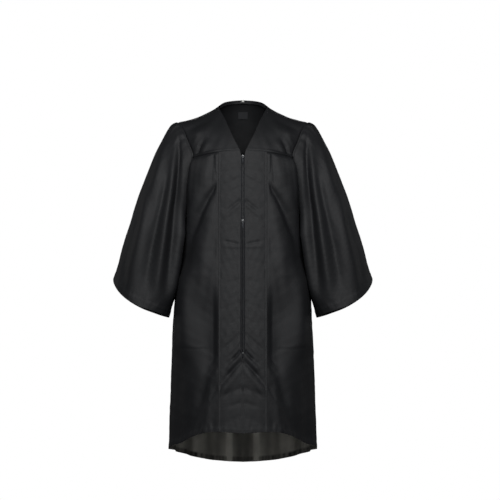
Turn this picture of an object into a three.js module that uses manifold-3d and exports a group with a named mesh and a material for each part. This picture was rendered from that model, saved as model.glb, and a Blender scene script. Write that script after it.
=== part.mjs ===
// A graduation gown as it stands when somebody wears it: hollow, zipped up, with bell sleeves.
// Millimetres, +Z up. The front faces -Y and +X is the wearer's left.
// The origin is the point midway between the two sides of the neck, where the shoulders carry it.

import * as THREE from 'three';
import Module from 'manifold-3d';
import { mergeVertices } from 'three/addons/utils/BufferGeometryUtils.js';

// Driving dimensions

const CLOTH = 1.2;            // thickness of every cloth wall
const SEAM = 0.3;             // each piece stops this far short of its seam line
const ARMHOLE_SEAM = 0.5;     // round the armhole, where the walls meet at an angle
const SLEEVE_SEAM = 1.6;

const SHOULDER = { x: 229, y: 0, z: -57 };        // outer end of the shoulder seam
const NECK_SIDE = { x: 87, y: 8, z: 0 };          // inner end of the shoulder seam
const UNDERARM_Z = -400;
const FRONT_YOKE_Z = -193;                        // where the yoke seam meets the armhole
const BACK_YOKE_Z = -172;
const SIDE_HEM_Z = -1214;

const BAND = 85;              // width of each front band, from the zip to its outer fold
const BAND_LIFT = 1.7;        // the band lies this far in front of the side panel
const TUCK = 6;               // the side panel runs this far under the band

const ZIP_TOP = -191;
const LOW_SLIDER = -421;      // the second slider, drawn up from the bottom
const ZIP_END = -890;
const CHAIN = { width: 6.4, thick: 2.2, lift: 1.3 };
const OPEN_ROW = { inner: 1.2, outer: 4.6 };      // one row of teeth where the zip is open
const TAPE = { inner: 5.1, width: 11, thick: 0.8 };
const SLIDER = { width: 8.6, height: 11.5, thick: 4.4, lift: 2.9 };
const PULL = { width: 6, length: 25, thick: 1.2 };
const BAIL = { width: 1.8, bar: 1.1, inside: 3, reach: 1.2 };

// The body, as rings from the shoulders to the hem: half width, and depth to the front and back.
// power 2 is an ellipse, and more is squarer.

const BODY = [
  { z: 0, half: 206, front: 112, back: 96, power: 2.5 },
  { z: -160, half: 201, front: 127, back: 112, power: 2.5 },
  { z: -300, half: 199, front: 137, back: 124, power: 2.5 },
  { z: -400, half: 203, front: 143, back: 133, power: 2.45 },
  { z: -511, half: 213, front: 150, back: 143, power: 2.4 },
  { z: -618, half: 227, front: 159, back: 154, power: 2.3 },
  { z: -710, half: 241, front: 168, back: 165, power: 2.25 },
  { z: -960, half: 253, front: 192, back: 194, power: 2.15 },
  { z: -1260, half: 264, front: 218, back: 224, power: 2.1 },
];

// The armhole by turn, from the shoulder point (0) down to the underarm (180)

const ARMHOLE = [
  { turn: 0, frontX: 229, frontY: 0, backX: 229, backY: 0 },
  { turn: 16, frontX: 225, frontY: 19, backX: 225, backY: 18 },
  { turn: 32, frontX: 215, frontY: 37, backX: 217, backY: 35 },
  { turn: 55, frontX: 197, frontY: 58, backX: 201, backY: 55 },
  { turn: 76, frontX: 178, frontY: 73, backX: 184, backY: 66 },
  { turn: 92, frontX: 181, frontY: 71, backX: 184, backY: 66 },
  { turn: 120, frontX: 187, frontY: 63, backX: 189, backY: 60 },
  { turn: 150, frontX: 196, frontY: 46, backX: 197, backY: 42 },
  { turn: 168, frontX: 201.6, frontY: 22, backX: 202, backY: 21 },
  { turn: 180, frontX: 203, frontY: 0, backX: 203, backY: 0 },
];

// Seam and edge lines

const SHOULDER_LINE = [
  { x: 87, z: 0 }, { x: 108, z: -14 }, { x: 136, z: -28 }, { x: 168, z: -42 }, { x: 200, z: -51 }, { x: 229, z: -57 },
];
const V_EDGE = [
  { x: 87, y: 8, z: 0 }, { x: 79, y: -24, z: -19 }, { x: 62, y: -62, z: -54 },
  { x: 38, y: -103, z: -112 }, { x: 11, y: -127, z: -167 },
];
const BACK_NECK = [
  { x: 0, y: 76, z: 28 }, { x: 35, y: 68, z: 25 }, { x: 65, y: 42, z: 17 }, { x: 87, y: 8, z: 0 },
];
const FRONT_SEAM = [
  { x: 0, z: -167 }, { x: 60, z: -171 }, { x: 99, z: -176.5 }, { x: 140, z: -184.5 }, { x: 178, z: -193 },
];
const BACK_SEAM = [{ x: 0, z: -160 }, { x: 100, z: -162 }, { x: 184, z: -172 }];

// Hem height by the angle round the body, 0 at the front and 180 at the back

const HEM = [
  { angle: 0, z: -1174 }, { angle: 22, z: -1168 }, { angle: 42, z: -1178 }, { angle: 66, z: -1202 },
  { angle: 90, z: -1214 }, { angle: 114, z: -1221 }, { angle: 135, z: -1235 }, { angle: 158, z: -1250 },
  { angle: 180, z: -1256 },
];

// Inner edge of the band: the neck's V runs on in it down to the zip, and it opens a little round the
// open part of the zip and closes below it

const BAND_INNER = [
  { z: 0, x: 11 }, { z: -166, x: 11 }, { z: -188, x: 5.2 }, { z: -410, x: 5.2 }, { z: -450, x: 8.2 },
  { z: -858, x: 8.2 }, { z: -892, x: 5 }, { z: -918, x: 0.4 }, { z: -1260, x: 0.4 },
];

// The sleeve: its outer line and its inner line seen from the front, and its half depth along it

const SLEEVE_OUTER = [
  [229, -57], [250, -67], [265, -86], [283, -114], [305, -156], [329, -213], [351, -270], [371, -327],
  [390, -383], [409, -440], [425, -497], [441, -556], [459, -616],
];
const SLEEVE_INNER = [[206, -402], [213, -450], [223, -515], [238, -618], [250, -705], [263, -752]];
const SLEEVE_DEPTH = [
  { along: 0, front: 74, back: 68 }, { along: 0.3, front: 92, back: 84 },
  { along: 0.65, front: 99, back: 96 }, { along: 1, front: 98, back: 100 },
];
const CUFF_BULGE = 100;       // how far the middle of the cuff hangs below the line between its corners
const HUG = { most: 34, clear: 17 };           // the sleeve's inner side swings in over the gown, clear of it

// Largest folds: a line from (x0, z0) to (x1, z1) seen from the front or the back,
// how far it fades to each side, and its height. Below zero it is a trough.

const PANEL_FOLDS = [
  { x0: 88, z0: -270, x1: 130, z1: -345, spread: 13, height: -6 },
  { x0: 130, z0: -345, x1: 204, z1: -535, spread: 17, height: -9 },
  { x0: 92, z0: -330, x1: 150, z1: -560, spread: 20, height: 6 },
  { x0: 120, z0: -680, x1: 160, z1: -850, spread: 17, height: -7 },
  { x0: 100, z0: -900, x1: 182, z1: -1165, spread: 20, height: -8 },
  { x0: 150, z0: -840, x1: 226, z1: -1175, spread: 24, height: 7 },
  { x0: 170, z0: -260, x1: 180, z1: -380, spread: 12, height: 5 },
  { x0: 92, z0: -176, x1: 90, z1: -240, spread: 6, height: -3 },
];
const SLEEVE_FRONT_FOLDS = [
  { x0: 219, z0: -100, x1: 222, z1: -350, spread: 9, height: -10 },
  { x0: 222, z0: -350, x1: 252, z1: -560, spread: 11, height: -9 },
  { x0: 201, z0: -150, x1: 205, z1: -370, spread: 9, height: 6 },
  { x0: 275, z0: -100, x1: 322, z1: -366, spread: 15, height: 8 },
  { x0: 322, z0: -366, x1: 385, z1: -640, spread: 19, height: 9 },
  { x0: 262, z0: -250, x1: 312, z1: -490, spread: 13, height: -7 },
  { x0: 312, z0: -490, x1: 350, z1: -690, spread: 17, height: -7 },
  { x0: 248, z0: -370, x1: 290, z1: -640, spread: 13, height: 6 },
  { x0: 360, z0: -330, x1: 425, z1: -600, spread: 14, height: -6 },
];
const SLEEVE_BACK_FOLDS = [
  { x0: 228, z0: -110, x1: 236, z1: -420, spread: 11, height: -9 },
  { x0: 262, z0: -100, x1: 300, z1: -420, spread: 15, height: 8 },
  { x0: 300, z0: -260, x1: 345, z1: -640, spread: 15, height: -8 },
  { x0: 330, z0: -300, x1: 402, z1: -610, spread: 18, height: 8 },
  { x0: 250, z0: -430, x1: 285, z1: -690, spread: 15, height: 7 },
];

// Gathers in the back panel under the yoke, and the waves that they become towards the hem

const BACK_WAVES = { count: 9, top: 3.2, middle: 11, hem: 8 };
const SLEEVE_GATHERS = { count: 15, height: 3, reach: 0.16, halfTurn: 62 };

// Grids

const GRID = {
  yokeFront: [8, 8], yokeBack: [26, 7], front: [14, 20], band: [5, 26], back: [46, 14], sleeve: [36, 14],
};

// Small tools

const radians = THREE.MathUtils.degToRad;
const lerp = THREE.MathUtils.lerp;
const smooth = THREE.MathUtils.smoothstep;
const vector = (x, y, z) => new THREE.Vector3(x, y, z);

// A smooth curve through a table's rows that never overshoots them
function curve(rows, from, to) {
  const sorted = [...rows].sort((a, b) => a[from] - b[from]);
  const xs = sorted.map((row) => row[from]);
  const ys = sorted.map((row) => row[to]);
  const secants = xs.slice(1).map((x, i) => (ys[i + 1] - ys[i]) / (x - xs[i]));
  const slopes = xs.map((_, i) => {
    const before = secants[Math.max(i - 1, 0)];
    const after = secants[Math.min(i, secants.length - 1)];
    return before * after <= 0 ? 0 : (2 * before * after) / (before + after);
  });
  return (x) => {
    const at = THREE.MathUtils.clamp(x, xs[0], xs[xs.length - 1]);
    let i = 0;
    while (i < xs.length - 2 && at > xs[i + 1]) i += 1;
    const width = xs[i + 1] - xs[i];
    const t = (at - xs[i]) / width;
    const rise = t * t * (3 - 2 * t);
    const bend = t * (1 - t);
    return ys[i] + (ys[i + 1] - ys[i]) * rise + width * bend * ((1 - t) * slopes[i] - t * slopes[i + 1]);
  };
}

// A smooth line through points of space, walked by its length from 0 to 1
function line(points) {
  const path = new THREE.CatmullRomCurve3(points, false, 'centripetal');
  path.arcLengthDivisions = 400;
  return (t) => path.getPointAt(THREE.MathUtils.clamp(t, 0, 1));
}

const bodyHalf = curve(BODY, 'z', 'half');
const bodyFront = curve(BODY, 'z', 'front');
const bodyBack = curve(BODY, 'z', 'back');
const bodyPower = curve(BODY, 'z', 'power');
const hemHeight = curve(HEM, 'angle', 'z');
const bandInner = curve(BAND_INNER, 'z', 'x');
const frontSeamZ = curve(FRONT_SEAM, 'x', 'z');
const backSeamZ = curve(BACK_SEAM, 'x', 'z');

// A point of the body at an angle from the front (0) to the back (180) by the wearer's left side
function bodyPoint(angle, z) {
  const power = 2 / bodyPower(z);
  const across = Math.abs(Math.sin(angle)) ** power;
  const deep = Math.abs(Math.cos(angle)) ** power;
  const y = angle < Math.PI / 2 ? -bodyFront(z) * deep : bodyBack(z) * deep;
  return vector(bodyHalf(z) * across, y, z);
}

// The angle at which the body is x wide at height z, on the front
function frontAngle(x, z) {
  return Math.asin(Math.min(1, (x / bodyHalf(z)) ** (bodyPower(z) / 2)));
}

// A point of the armhole, by its turn in degrees: the front for 0 to 180, then back up to the shoulder
const armholeCurves = {};
for (const column of ['frontX', 'frontY', 'backX', 'backY']) armholeCurves[column] = curve(ARMHOLE, 'turn', column);

function armholeHeight(turn) {
  const middle = (SHOULDER.z + UNDERARM_Z) / 2;
  return middle + (SHOULDER.z - middle) * Math.cos(radians(turn));
}

function armholeTurn(z) {
  const middle = (SHOULDER.z + UNDERARM_Z) / 2;
  return THREE.MathUtils.radToDeg(Math.acos(THREE.MathUtils.clamp((z - middle) / (SHOULDER.z - middle), -1, 1)));
}

function armholePoint(turn) {
  const front = turn <= 180;
  const down = front ? turn : 360 - turn;
  const z = armholeHeight(down);
  const x = armholeCurves[front ? 'frontX' : 'backX'](down);
  const y = armholeCurves[front ? 'frontY' : 'backY'](down);
  return vector(x, front ? -y : y, z);
}

// The height of a fold at a point seen from the front or the back
function foldHeight(rows, x, z) {
  let height = 0;
  for (const { x0, z0, x1, z1, spread, height: peak } of rows) {
    const length = Math.hypot(x1 - x0, z1 - z0);
    const along = ((x - x0) * (x1 - x0) + (z - z0) * (z1 - z0)) / length;
    const aside = ((x - x0) * (z1 - z0) - (z - z0) * (x1 - x0)) / length;
    const past = Math.max(0, -along, along - length);
    height += peak * Math.exp(-((aside / spread) ** 2) - (past / (2.2 * spread)) ** 2);
  }
  return height;
}

// Rows of points over a surface
function makeGrid([across, down], point, closed = false) {
  const columns = closed ? across : across + 1;
  return Array.from({ length: down + 1 }, (_, j) =>
    Array.from({ length: columns }, (_unused, i) => point(i / across, j / down)));
}

// The direction that each point of a grid faces
function gridNormals(grid, closed) {
  const rows = grid.length;
  const columns = grid[0].length;
  return grid.map((row, j) => row.map((_, i) => {
    const left = closed ? row[(i + columns - 1) % columns] : row[Math.max(i - 1, 0)];
    const right = closed ? row[(i + 1) % columns] : row[Math.min(i + 1, columns - 1)];
    const above = grid[Math.max(j - 1, 0)][i];
    const below = grid[Math.min(j + 1, rows - 1)][i];
    return right.clone().sub(left).cross(below.clone().sub(above)).normalize();
  }));
}

// Moves each point along its normal
function raise(grid, height, closed = false) {
  const normals = gridNormals(grid, closed);
  return grid.map((row, j) => row.map((p, i) => p.clone().addScaledVector(normals[j][i], height(p, j, i))));
}

// Draws the edges of a grid in from their seam lines
function trim(grid, { top = 0, bottom = 0, start = 0, end = 0 }) {
  const rows = grid.length - 1;
  const columns = grid[0].length - 1;
  const pull = (p, inner, by) => p.addScaledVector(inner.clone().sub(p).normalize(), by);
  if (top) grid[0].forEach((p, i) => pull(p, grid[1][i], top));
  if (bottom) grid[rows].forEach((p, i) => pull(p, grid[rows - 1][i], bottom));
  if (start) grid.forEach((row) => pull(row[0], row[1], start));
  if (end) grid.forEach((row) => pull(row[columns], row[columns - 1], end));
  return grid;
}

// A closed cloth wall about a grid of points. The grid's rows run right and its columns down, seen from outside.
function wall(grid, { thick = CLOTH, closed = false, mirrored = false } = {}) {
  const rows = grid.length;
  const columns = grid[0].length;
  const normals = gridNormals(grid, closed);
  const positions = [];
  for (const side of [-0.5, 0.5]) {
    grid.forEach((row, j) => row.forEach((p, i) => {
      const q = p.clone().addScaledVector(normals[j][i], side * thick);
      positions.push(mirrored ? -q.x : q.x, q.y, q.z);
    }));
  }
  const outer = (j, i) => j * columns + (i % columns);
  const inner = (j, i) => rows * columns + j * columns + (i % columns);
  const faces = [];
  const quad = (a, b, c, d) => faces.push(...(mirrored ? [a, c, b, a, d, c] : [a, b, c, a, c, d]));
  const spans = closed ? columns : columns - 1;
  for (let j = 0; j < rows - 1; j += 1) {
    for (let i = 0; i < spans; i += 1) {
      quad(outer(j, i), outer(j + 1, i), outer(j + 1, i + 1), outer(j, i + 1));
      quad(inner(j, i), inner(j, i + 1), inner(j + 1, i + 1), inner(j + 1, i));
    }
  }
  for (let i = 0; i < spans; i += 1) {
    quad(outer(0, i), outer(0, i + 1), inner(0, i + 1), inner(0, i));
    quad(inner(rows - 1, i), inner(rows - 1, i + 1), outer(rows - 1, i + 1), outer(rows - 1, i));
  }
  if (!closed) {
    for (let j = 0; j < rows - 1; j += 1) {
      quad(inner(j, 0), inner(j + 1, 0), outer(j + 1, 0), outer(j, 0));
      quad(outer(j, columns - 1), outer(j + 1, columns - 1), inner(j + 1, columns - 1), inner(j, columns - 1));
    }
  }
  const geometry = new THREE.BufferGeometry();
  geometry.setAttribute('position', new THREE.Float32BufferAttribute(positions, 3));
  geometry.setIndex(faces);
  return geometry;
}

// A surface stretched between four edge lines: top and bottom run right, start and end run down
function patch(size, top, bottom, start, end) {
  return makeGrid(size, (u, v) => {
    const corners = top(0).multiplyScalar((1 - u) * (1 - v))
      .addScaledVector(top(1), u * (1 - v))
      .addScaledVector(bottom(0), (1 - u) * v)
      .addScaledVector(bottom(1), u * v);
    return top(u).multiplyScalar(1 - v).addScaledVector(bottom(u), v)
      .addScaledVector(start(v), 1 - u).addScaledVector(end(v), u).sub(corners);
  });
}

// The pieces, each made for the wearer's left and mirrored for the right

const shoulderLine = line(SHOULDER_LINE.map(({ x, z }) => vector(x, lerp(NECK_SIDE.y, SHOULDER.y,
  (x - NECK_SIDE.x) / (SHOULDER.x - NECK_SIDE.x)), z)));
const vEdge = line(V_EDGE.map(({ x, y, z }) => vector(x, y, z)));
const backNeck = line(BACK_NECK.map(({ x, y, z }) => vector(x, y, z)));

function frontSeamPoint(x) {
  const z = frontSeamZ(x);
  return bodyPoint(frontAngle(x, z), z);
}

function yokeFront(mirrored) {
  const corner = armholeTurn(FRONT_YOKE_Z);
  const innerX = V_EDGE[V_EDGE.length - 1].x;
  const outerX = armholePoint(corner).x;
  const grid = patch(GRID.yokeFront, shoulderLine, (u) => frontSeamPoint(lerp(innerX, outerX, u)),
    vEdge, (v) => armholePoint(corner * v));
  trim(grid, { top: SEAM, bottom: SEAM, end: ARMHOLE_SEAM });
  return wall(grid, { mirrored });
}

function yokeBack() {
  const corner = armholeTurn(BACK_YOKE_Z);
  const cornerX = armholePoint(360 - corner).x;
  const shoulderShare = 0.3;
  const top = (u) => {
    const side = u < 0.5 ? 1 : -1;
    const out = Math.abs(u - 0.5) * 2;
    const edge = 1 - 2 * shoulderShare + 0.12;
    const p = out < edge ? backNeck(out / edge) : shoulderLine((out - edge) / (1 - edge));
    return vector(side * p.x, p.y, p.z);
  };
  const bottom = (u) => {
    const x = lerp(cornerX, -cornerX, u);
    const z = backSeamZ(Math.abs(x));
    const p = bodyPoint(Math.PI - frontAngle(Math.abs(x), z), z);
    return vector(x, p.y, z);
  };
  const armhole = (side) => (v) => {
    const p = armholePoint(360 - corner * v);
    return vector(side * p.x, p.y, p.z);
  };
  const grid = patch(GRID.yokeBack, top, bottom, armhole(1), armhole(-1));
  trim(grid, { top: SEAM, bottom: SEAM, start: ARMHOLE_SEAM, end: ARMHOLE_SEAM });
  return wall(grid);
}

// Rows of a panel crowd towards the armhole, and one of them meets the underarm
function panelFall(v, cornerZ) {
  const underarm = (UNDERARM_Z - cornerZ) / (SIDE_HEM_Z - cornerZ);
  const share = 0.3;
  return v < share ? (v / share) * underarm : lerp(underarm, 1, (v - share) / (1 - share));
}

function frontPanel(mirrored) {
  const cornerX = armholePoint(armholeTurn(FRONT_YOKE_Z)).x;
  const innerX = BAND - TUCK;
  const grid = makeGrid(GRID.front, (u, v) => {
    const fall = panelFall(v, FRONT_YOKE_Z);
    const top = frontSeamZ(lerp(innerX, cornerX, u));
    const side = lerp(FRONT_YOKE_Z, SIDE_HEM_Z, fall);
    const outer = side > UNDERARM_Z ? armholePoint(armholeTurn(side)).x / bodyHalf(side) : 1;
    const outerAngle = Math.asin(outer ** (bodyPower(side) / 2));
    let z = top;
    for (let pass = 0; pass < 3; pass += 1) {
      const angle = lerp(frontAngle(innerX, z), outerAngle, u);
      z = lerp(top, hemHeight(THREE.MathUtils.radToDeg(angle)), fall);
    }
    return bodyPoint(lerp(frontAngle(innerX, z), outerAngle, u), z);
  });
  const folded = raise(grid, (p, j, i) => {
    const across = i / GRID.front[0];
    const still = smooth(across, 0.08, 0.22) * smooth(1 - across, 0, 0.1) * smooth(j, 0, 2);
    return foldHeight(PANEL_FOLDS, p.x, p.z) * still;
  });
  trim(folded, { top: SEAM, end: SEAM });
  return wall(folded, { mirrored });
}

function band(mirrored) {
  const grid = makeGrid(GRID.band, (u, v) => {
    let z = FRONT_YOKE_Z;
    let x = 0;
    for (let pass = 0; pass < 3; pass += 1) {
      x = lerp(bandInner(z), BAND, u);
      const angle = THREE.MathUtils.radToDeg(frontAngle(x, z));
      z = lerp(frontSeamZ(x), hemHeight(angle), v);
    }
    return bodyPoint(frontAngle(x, z), z);
  });
  const lifted = raise(grid, () => BAND_LIFT);
  trim(lifted, { top: SEAM + BAND_LIFT / 2 });
  return wall(lifted, { mirrored });
}

function backPanel() {
  const corner = armholePoint(360 - armholeTurn(BACK_YOKE_Z));
  const grid = makeGrid(GRID.back, (u, v) => {
    const fall = panelFall(v, BACK_YOKE_Z);
    const out = Math.abs(1 - 2 * u);
    const side = lerp(BACK_YOKE_Z, SIDE_HEM_Z, fall);
    const outer = side > UNDERARM_Z ? armholePoint(360 - armholeTurn(side)).x / bodyHalf(side) : 1;
    const turn = Math.asin(outer ** (bodyPower(side) / 2)) * out;
    const top = backSeamZ(corner.x * out);
    const z = lerp(top, hemHeight(180 - THREE.MathUtils.radToDeg(turn)), fall);
    const p = bodyPoint(Math.PI - turn, z);
    return vector(u < 0.5 ? p.x : -p.x, p.y, z);
  });
  const { count, top, middle, hem } = BACK_WAVES;
  const waved = raise(grid, (_, j, i) => {
    const u = i / GRID.back[0];
    const v = j / GRID.back[1];
    const edge = smooth(Math.min(u, 1 - u), 0, 0.1);
    const height = v < 0.4 ? lerp(top, middle, smooth(v, 0, 0.4)) : lerp(middle, hem, smooth(v, 0.4, 1));
    const uneven = 0.75 + 0.25 * Math.sin(7.3 * u + 1.1);
    return -height * uneven * edge * smooth(v, 0, 0.1) * Math.cos(2 * Math.PI * count * u);
  });
  trim(waved, { top: SEAM, start: SEAM, end: SEAM });
  return wall(waved);
}

// Half width of the body at a depth and a height
function bodySide(y, z) {
  const share = Math.min(1, Math.abs(y) / (y < 0 ? bodyFront(z) : bodyBack(z)));
  return bodyHalf(z) * (1 - share ** bodyPower(z)) ** (1 / bodyPower(z));
}

const outerLine = line(SLEEVE_OUTER.map(([x, z]) => vector(x, 0, z)));
const innerLine = line(SLEEVE_INNER.map(([x, z]) => vector(x, 0, z)));
const depthFront = curve(SLEEVE_DEPTH, 'along', 'front');
const depthBack = curve(SLEEVE_DEPTH, 'along', 'back');

// A point of the sleeve: turn runs from the top by the front, as on the armhole, and along goes to the cuff
function sleevePoint(turn, along) {
  const cos = Math.cos(radians(turn));
  const sin = Math.sin(radians(turn));
  const outer = outerLine(along);
  const inner = innerLine(along);
  const deep = sin > 0 ? -depthFront(along) * sin : -depthBack(along) * sin;
  const ring = outer.clone().add(inner).multiplyScalar(0.5).addScaledVector(outer.clone().sub(inner), cos / 2);
  ring.y = deep;
  const inward = (1 - cos) / 2;
  const cuff = smooth(along, 0.72, 1) * (1 + 0.1 * sin);
  ring.z -= CUFF_BULGE * cuff * inward ** 0.45 * (1 - inward) ** 1.15;
  const swing = HUG.most * smooth(-ring.z, 380, 470) * (1 - smooth(-ring.z, 640, 760))
    * smooth(inward, 0.5, 0.85) * smooth(Math.abs(sin), 0, 0.75);
  ring.x -= Math.min(swing, Math.max(0, ring.x - bodySide(ring.y, ring.z) - HUG.clear));
  const hole = armholePoint(turn);
  hole.x += 3 * inward ** 6;
  const outward = (1 - inward) ** 1.5;
  hole.addScaledVector(outer, outward).addScaledVector(outerLine(0), -outward);
  return hole.lerp(ring, smooth(along, 0, 0.3));
}

function sleeve(mirrored) {
  const [across, down] = GRID.sleeve;
  const fallOf = (v) => v ** 1.25;
  const grid = makeGrid(GRID.sleeve, (u, v) => sleevePoint(360 - 360 * u, fallOf(v)), true);
  const { count, height, reach, halfTurn } = SLEEVE_GATHERS;
  const folded = raise(grid, (p, j, i) => {
    const along = fallOf(j / down);
    const turn = 180 - Math.abs(180 - (360 * i) / across);
    const rows = p.y < 0 ? SLEEVE_FRONT_FOLDS : SLEEVE_BACK_FOLDS;
    const side = smooth(Math.abs(p.y), 0, 40);
    const gather = height * smooth(along, 0, 0.02) * (1 - smooth(along, 0.02, reach)) * (1 - smooth(turn, 40, halfTurn));
    return foldHeight(rows, p.x, p.z) * side * smooth(along, 0.01, 0.12) + gather * Math.cos(count * radians(turn) * 1.2);
  }, true);
  trim(folded, { top: SLEEVE_SEAM });
  return wall(folded, { closed: true, mirrored });
}

// The neck: a narrow binding inside the back neck, a bare label under it and a small tab at the edge

const BINDING = { height: 11, thick: 1 };
const LABEL = { width: 34, height: 26, y: 96, z: -25, tilt: 17 };      // it lies along the back yoke
const TAB = { width: 9, height: 7, thick: 0.8 };

function backNeckInside(x, drop) {
  const side = Math.sign(x) || 1;
  const edge = backNeck(Math.min(1, Math.abs(x) / NECK_SIDE.x));
  return vector(side * edge.x, edge.y - CLOTH / 2 - 0.8, edge.z - drop);
}

function neckBinding() {
  const reach = 0.9;
  const grid = makeGrid([16, 1], (u, v) => {
    const x = lerp(NECK_SIDE.x, -NECK_SIDE.x, u) * reach;
    const p = backNeckInside(x, 0);
    const inward = vector(-p.x * 0.012, -1.1, 0);
    return p.add(inward).add(vector(0, 0.25 * BINDING.height * v, -BINDING.height * v - 0.5));
  });
  return wall(grid, { thick: BINDING.thick });
}

// The zip follows the line where the two front bands meet

function zipPoint(x, z, lift) {
  const slope = (bodyFront(z - 5) - bodyFront(z + 5)) / 10;
  const tilt = Math.atan(slope);
  return vector(x, -bodyFront(z) - lift * Math.cos(tilt), z + lift * Math.sin(tilt));
}

function zipStrip(x0, x1, z0, z1, lift, thick, mirrored = false) {
  const steps = Math.max(2, Math.round(Math.abs(z1 - z0) / 40));
  const grid = makeGrid([1, steps], (u, v) => zipPoint(lerp(x0, x1, u), lerp(z0, z1, v), lift));
  return wall(grid, { thick, mirrored });
}

// A closed mesh as a solid that can be joined and cut, and back
const wasm = await Module();
wasm.setup();

function solid(geometry) {
  const bare = geometry.clone();
  bare.deleteAttribute('normal');
  bare.deleteAttribute('uv');
  const merged = mergeVertices(bare, 1e-4);
  return new wasm.Manifold(new wasm.Mesh({
    numProp: 3,
    vertProperties: new Float32Array(merged.attributes.position.array),
    triVerts: new Uint32Array(merged.index.array),
  }));
}

function fromSolid(body) {
  const mesh = body.getMesh();
  const geometry = new THREE.BufferGeometry();
  geometry.setAttribute('position', new THREE.Float32BufferAttribute(mesh.vertProperties, 3));
  geometry.setIndex([...mesh.triVerts]);
  return geometry;
}

function block(width, depth, height, x, y, z) {
  return new THREE.BoxGeometry(width, depth, height).translate(x, y, z);
}

// The slider's body and the bail over it, about the pin of its pull tab. -Y is away from the cloth.
const PIN_OUT = SLIDER.thick / 2 + 1.1;       // from the middle of the slider's body to the pin

function sliderGeometry() {
  const half = SLIDER.width / 2;
  const top = SLIDER.height / 2;
  const outline = new THREE.Shape();
  outline.moveTo(-half + 1.6, top);
  outline.lineTo(half - 1.6, top);
  outline.quadraticCurveTo(half, top, half, top - 2.4);
  outline.lineTo(half - 1.4, -top + 1);
  outline.quadraticCurveTo(half - 1.6, -top, half - 2.6, -top);
  outline.lineTo(-half + 2.6, -top);
  outline.quadraticCurveTo(-half + 1.6, -top, -half + 1.4, -top + 1);
  outline.lineTo(-half, top - 2.4);
  outline.quadraticCurveTo(-half, top, -half + 1.6, top);
  const plate = new THREE.ExtrudeGeometry(outline, { depth: SLIDER.thick, bevelEnabled: false, curveSegments: 3 });
  plate.rotateX(Math.PI / 2).translate(0, PIN_OUT + SLIDER.thick / 2, 0);
  const { width, bar, inside, reach } = BAIL;
  const legDepth = PIN_OUT - SLIDER.thick / 2 + reach + bar;
  const front = -reach - bar;
  const legs = [1, -1].map((side) => solid(block(width, legDepth + 0.4, bar, 0, front + (legDepth + 0.4) / 2,
    side * (inside + bar / 2))));
  const bridge = solid(block(width, bar, 2 * (inside + bar), 0, front + bar / 2, 0));
  return fromSolid(solid(plate).add(legs[0]).add(legs[1]).add(bridge));
}

// The pull tab hangs from its pin, which lies along X through the bail
function pullGeometry() {
  const { width, length, thick } = PULL;
  const hole = { half: 1.5, far: -5.6, near: -thick / 2 };
  const half = width / 2;
  const outline = new THREE.Shape();
  outline.moveTo(-half, thick / 2);
  outline.lineTo(-half, -length + 2);
  outline.quadraticCurveTo(-half, -length, -half + 2, -length);
  outline.lineTo(half - 2, -length);
  outline.quadraticCurveTo(half, -length, half, -length + 2);
  outline.lineTo(half, thick / 2);
  const eye = new THREE.Path();
  eye.moveTo(-hole.half, hole.near);
  eye.lineTo(hole.half, hole.near);
  eye.lineTo(hole.half, hole.far);
  eye.lineTo(-hole.half, hole.far);
  eye.lineTo(-hole.half, hole.near);
  outline.holes.push(eye);
  const plate = new THREE.ExtrudeGeometry(outline, { depth: thick, bevelEnabled: false, curveSegments: 3 });
  return plate.rotateX(Math.PI / 2).translate(0, thick / 2, 0);
}

// Materials

const material = (colour, roughness, metalness = 0) =>
  new THREE.MeshStandardMaterial({ color: colour, roughness, metalness, side: THREE.DoubleSide });
const satin = material('#1d1e20', 0.55);
const tapeCloth = material('#131314', 0.8);
const nylon = material('#26272a', 0.45);
const nickel = material('#c9cacc', 0.25, 1);
const white = material('#e6e6e2', 0.8);

// Assembly

const gown = new THREE.Group();

function place(name, geometry, finish) {
  const mesh = new THREE.Mesh(geometry, finish);
  mesh.name = name;
  gown.add(mesh);
  return mesh;
}

for (const [side, mirrored] of [['left', false], ['right', true]]) {
  place(`yoke_front_${side}`, yokeFront(mirrored), satin);
  place(`front_${side}`, frontPanel(mirrored), satin);
  place(`band_${side}`, band(mirrored), satin);
  place(`sleeve_${side}`, sleeve(mirrored), satin);
  place(`zip_tape_${side}`, zipStrip(TAPE.inner, TAPE.inner + TAPE.width, ZIP_TOP, ZIP_END, 0, TAPE.thick, mirrored),
    tapeCloth);
  place(`zip_row_${side}`, zipStrip(OPEN_ROW.inner, OPEN_ROW.outer, LOW_SLIDER - SLIDER.height / 2 - 0.6,
    ZIP_END + 2, CHAIN.lift, CHAIN.thick, mirrored), nylon);
}
place('yoke_back', yokeBack(), satin);
place('back', backPanel(), satin);
place('neck_binding', neckBinding(), satin);
place('zip_chain', zipStrip(-CHAIN.width / 2, CHAIN.width / 2, ZIP_TOP - SLIDER.height / 2 - 0.6,
  LOW_SLIDER + SLIDER.height / 2 + 0.6, CHAIN.lift, CHAIN.thick), nylon);
place('zip_stop', block(7.4, 2.6, 3.2, 0, 0, 0), nickel)
  .position.copy(zipPoint(0, ZIP_END, CHAIN.lift));

for (const [name, height] of [['top', ZIP_TOP], ['low', LOW_SLIDER]]) {
  const slope = (bodyFront(height - 5) - bodyFront(height + 5)) / 10;
  const pin = zipPoint(0, height, SLIDER.lift + PIN_OUT);
  for (const [part, geometry] of [['slider', sliderGeometry()], ['pull', pullGeometry()]]) {
    const mesh = place(`zip_${part}_${name}`, geometry, nickel);
    mesh.position.copy(pin);
    mesh.rotation.x = -Math.atan(slope);
  }
}

const label = place('neck_label', block(LABEL.width, 0.8, LABEL.height, 0, 0, 0), nylon);
label.position.set(0, LABEL.y, LABEL.z);
label.rotation.x = radians(LABEL.tilt);
place('neck_tab', block(TAB.width, TAB.thick, TAB.height, 0, 0, 0), white)
  .position.set(0, backNeckInside(0, 0).y - 3.5, BACK_NECK[0].z - TAB.height / 2 + 0.5);

export default gown;
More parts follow.
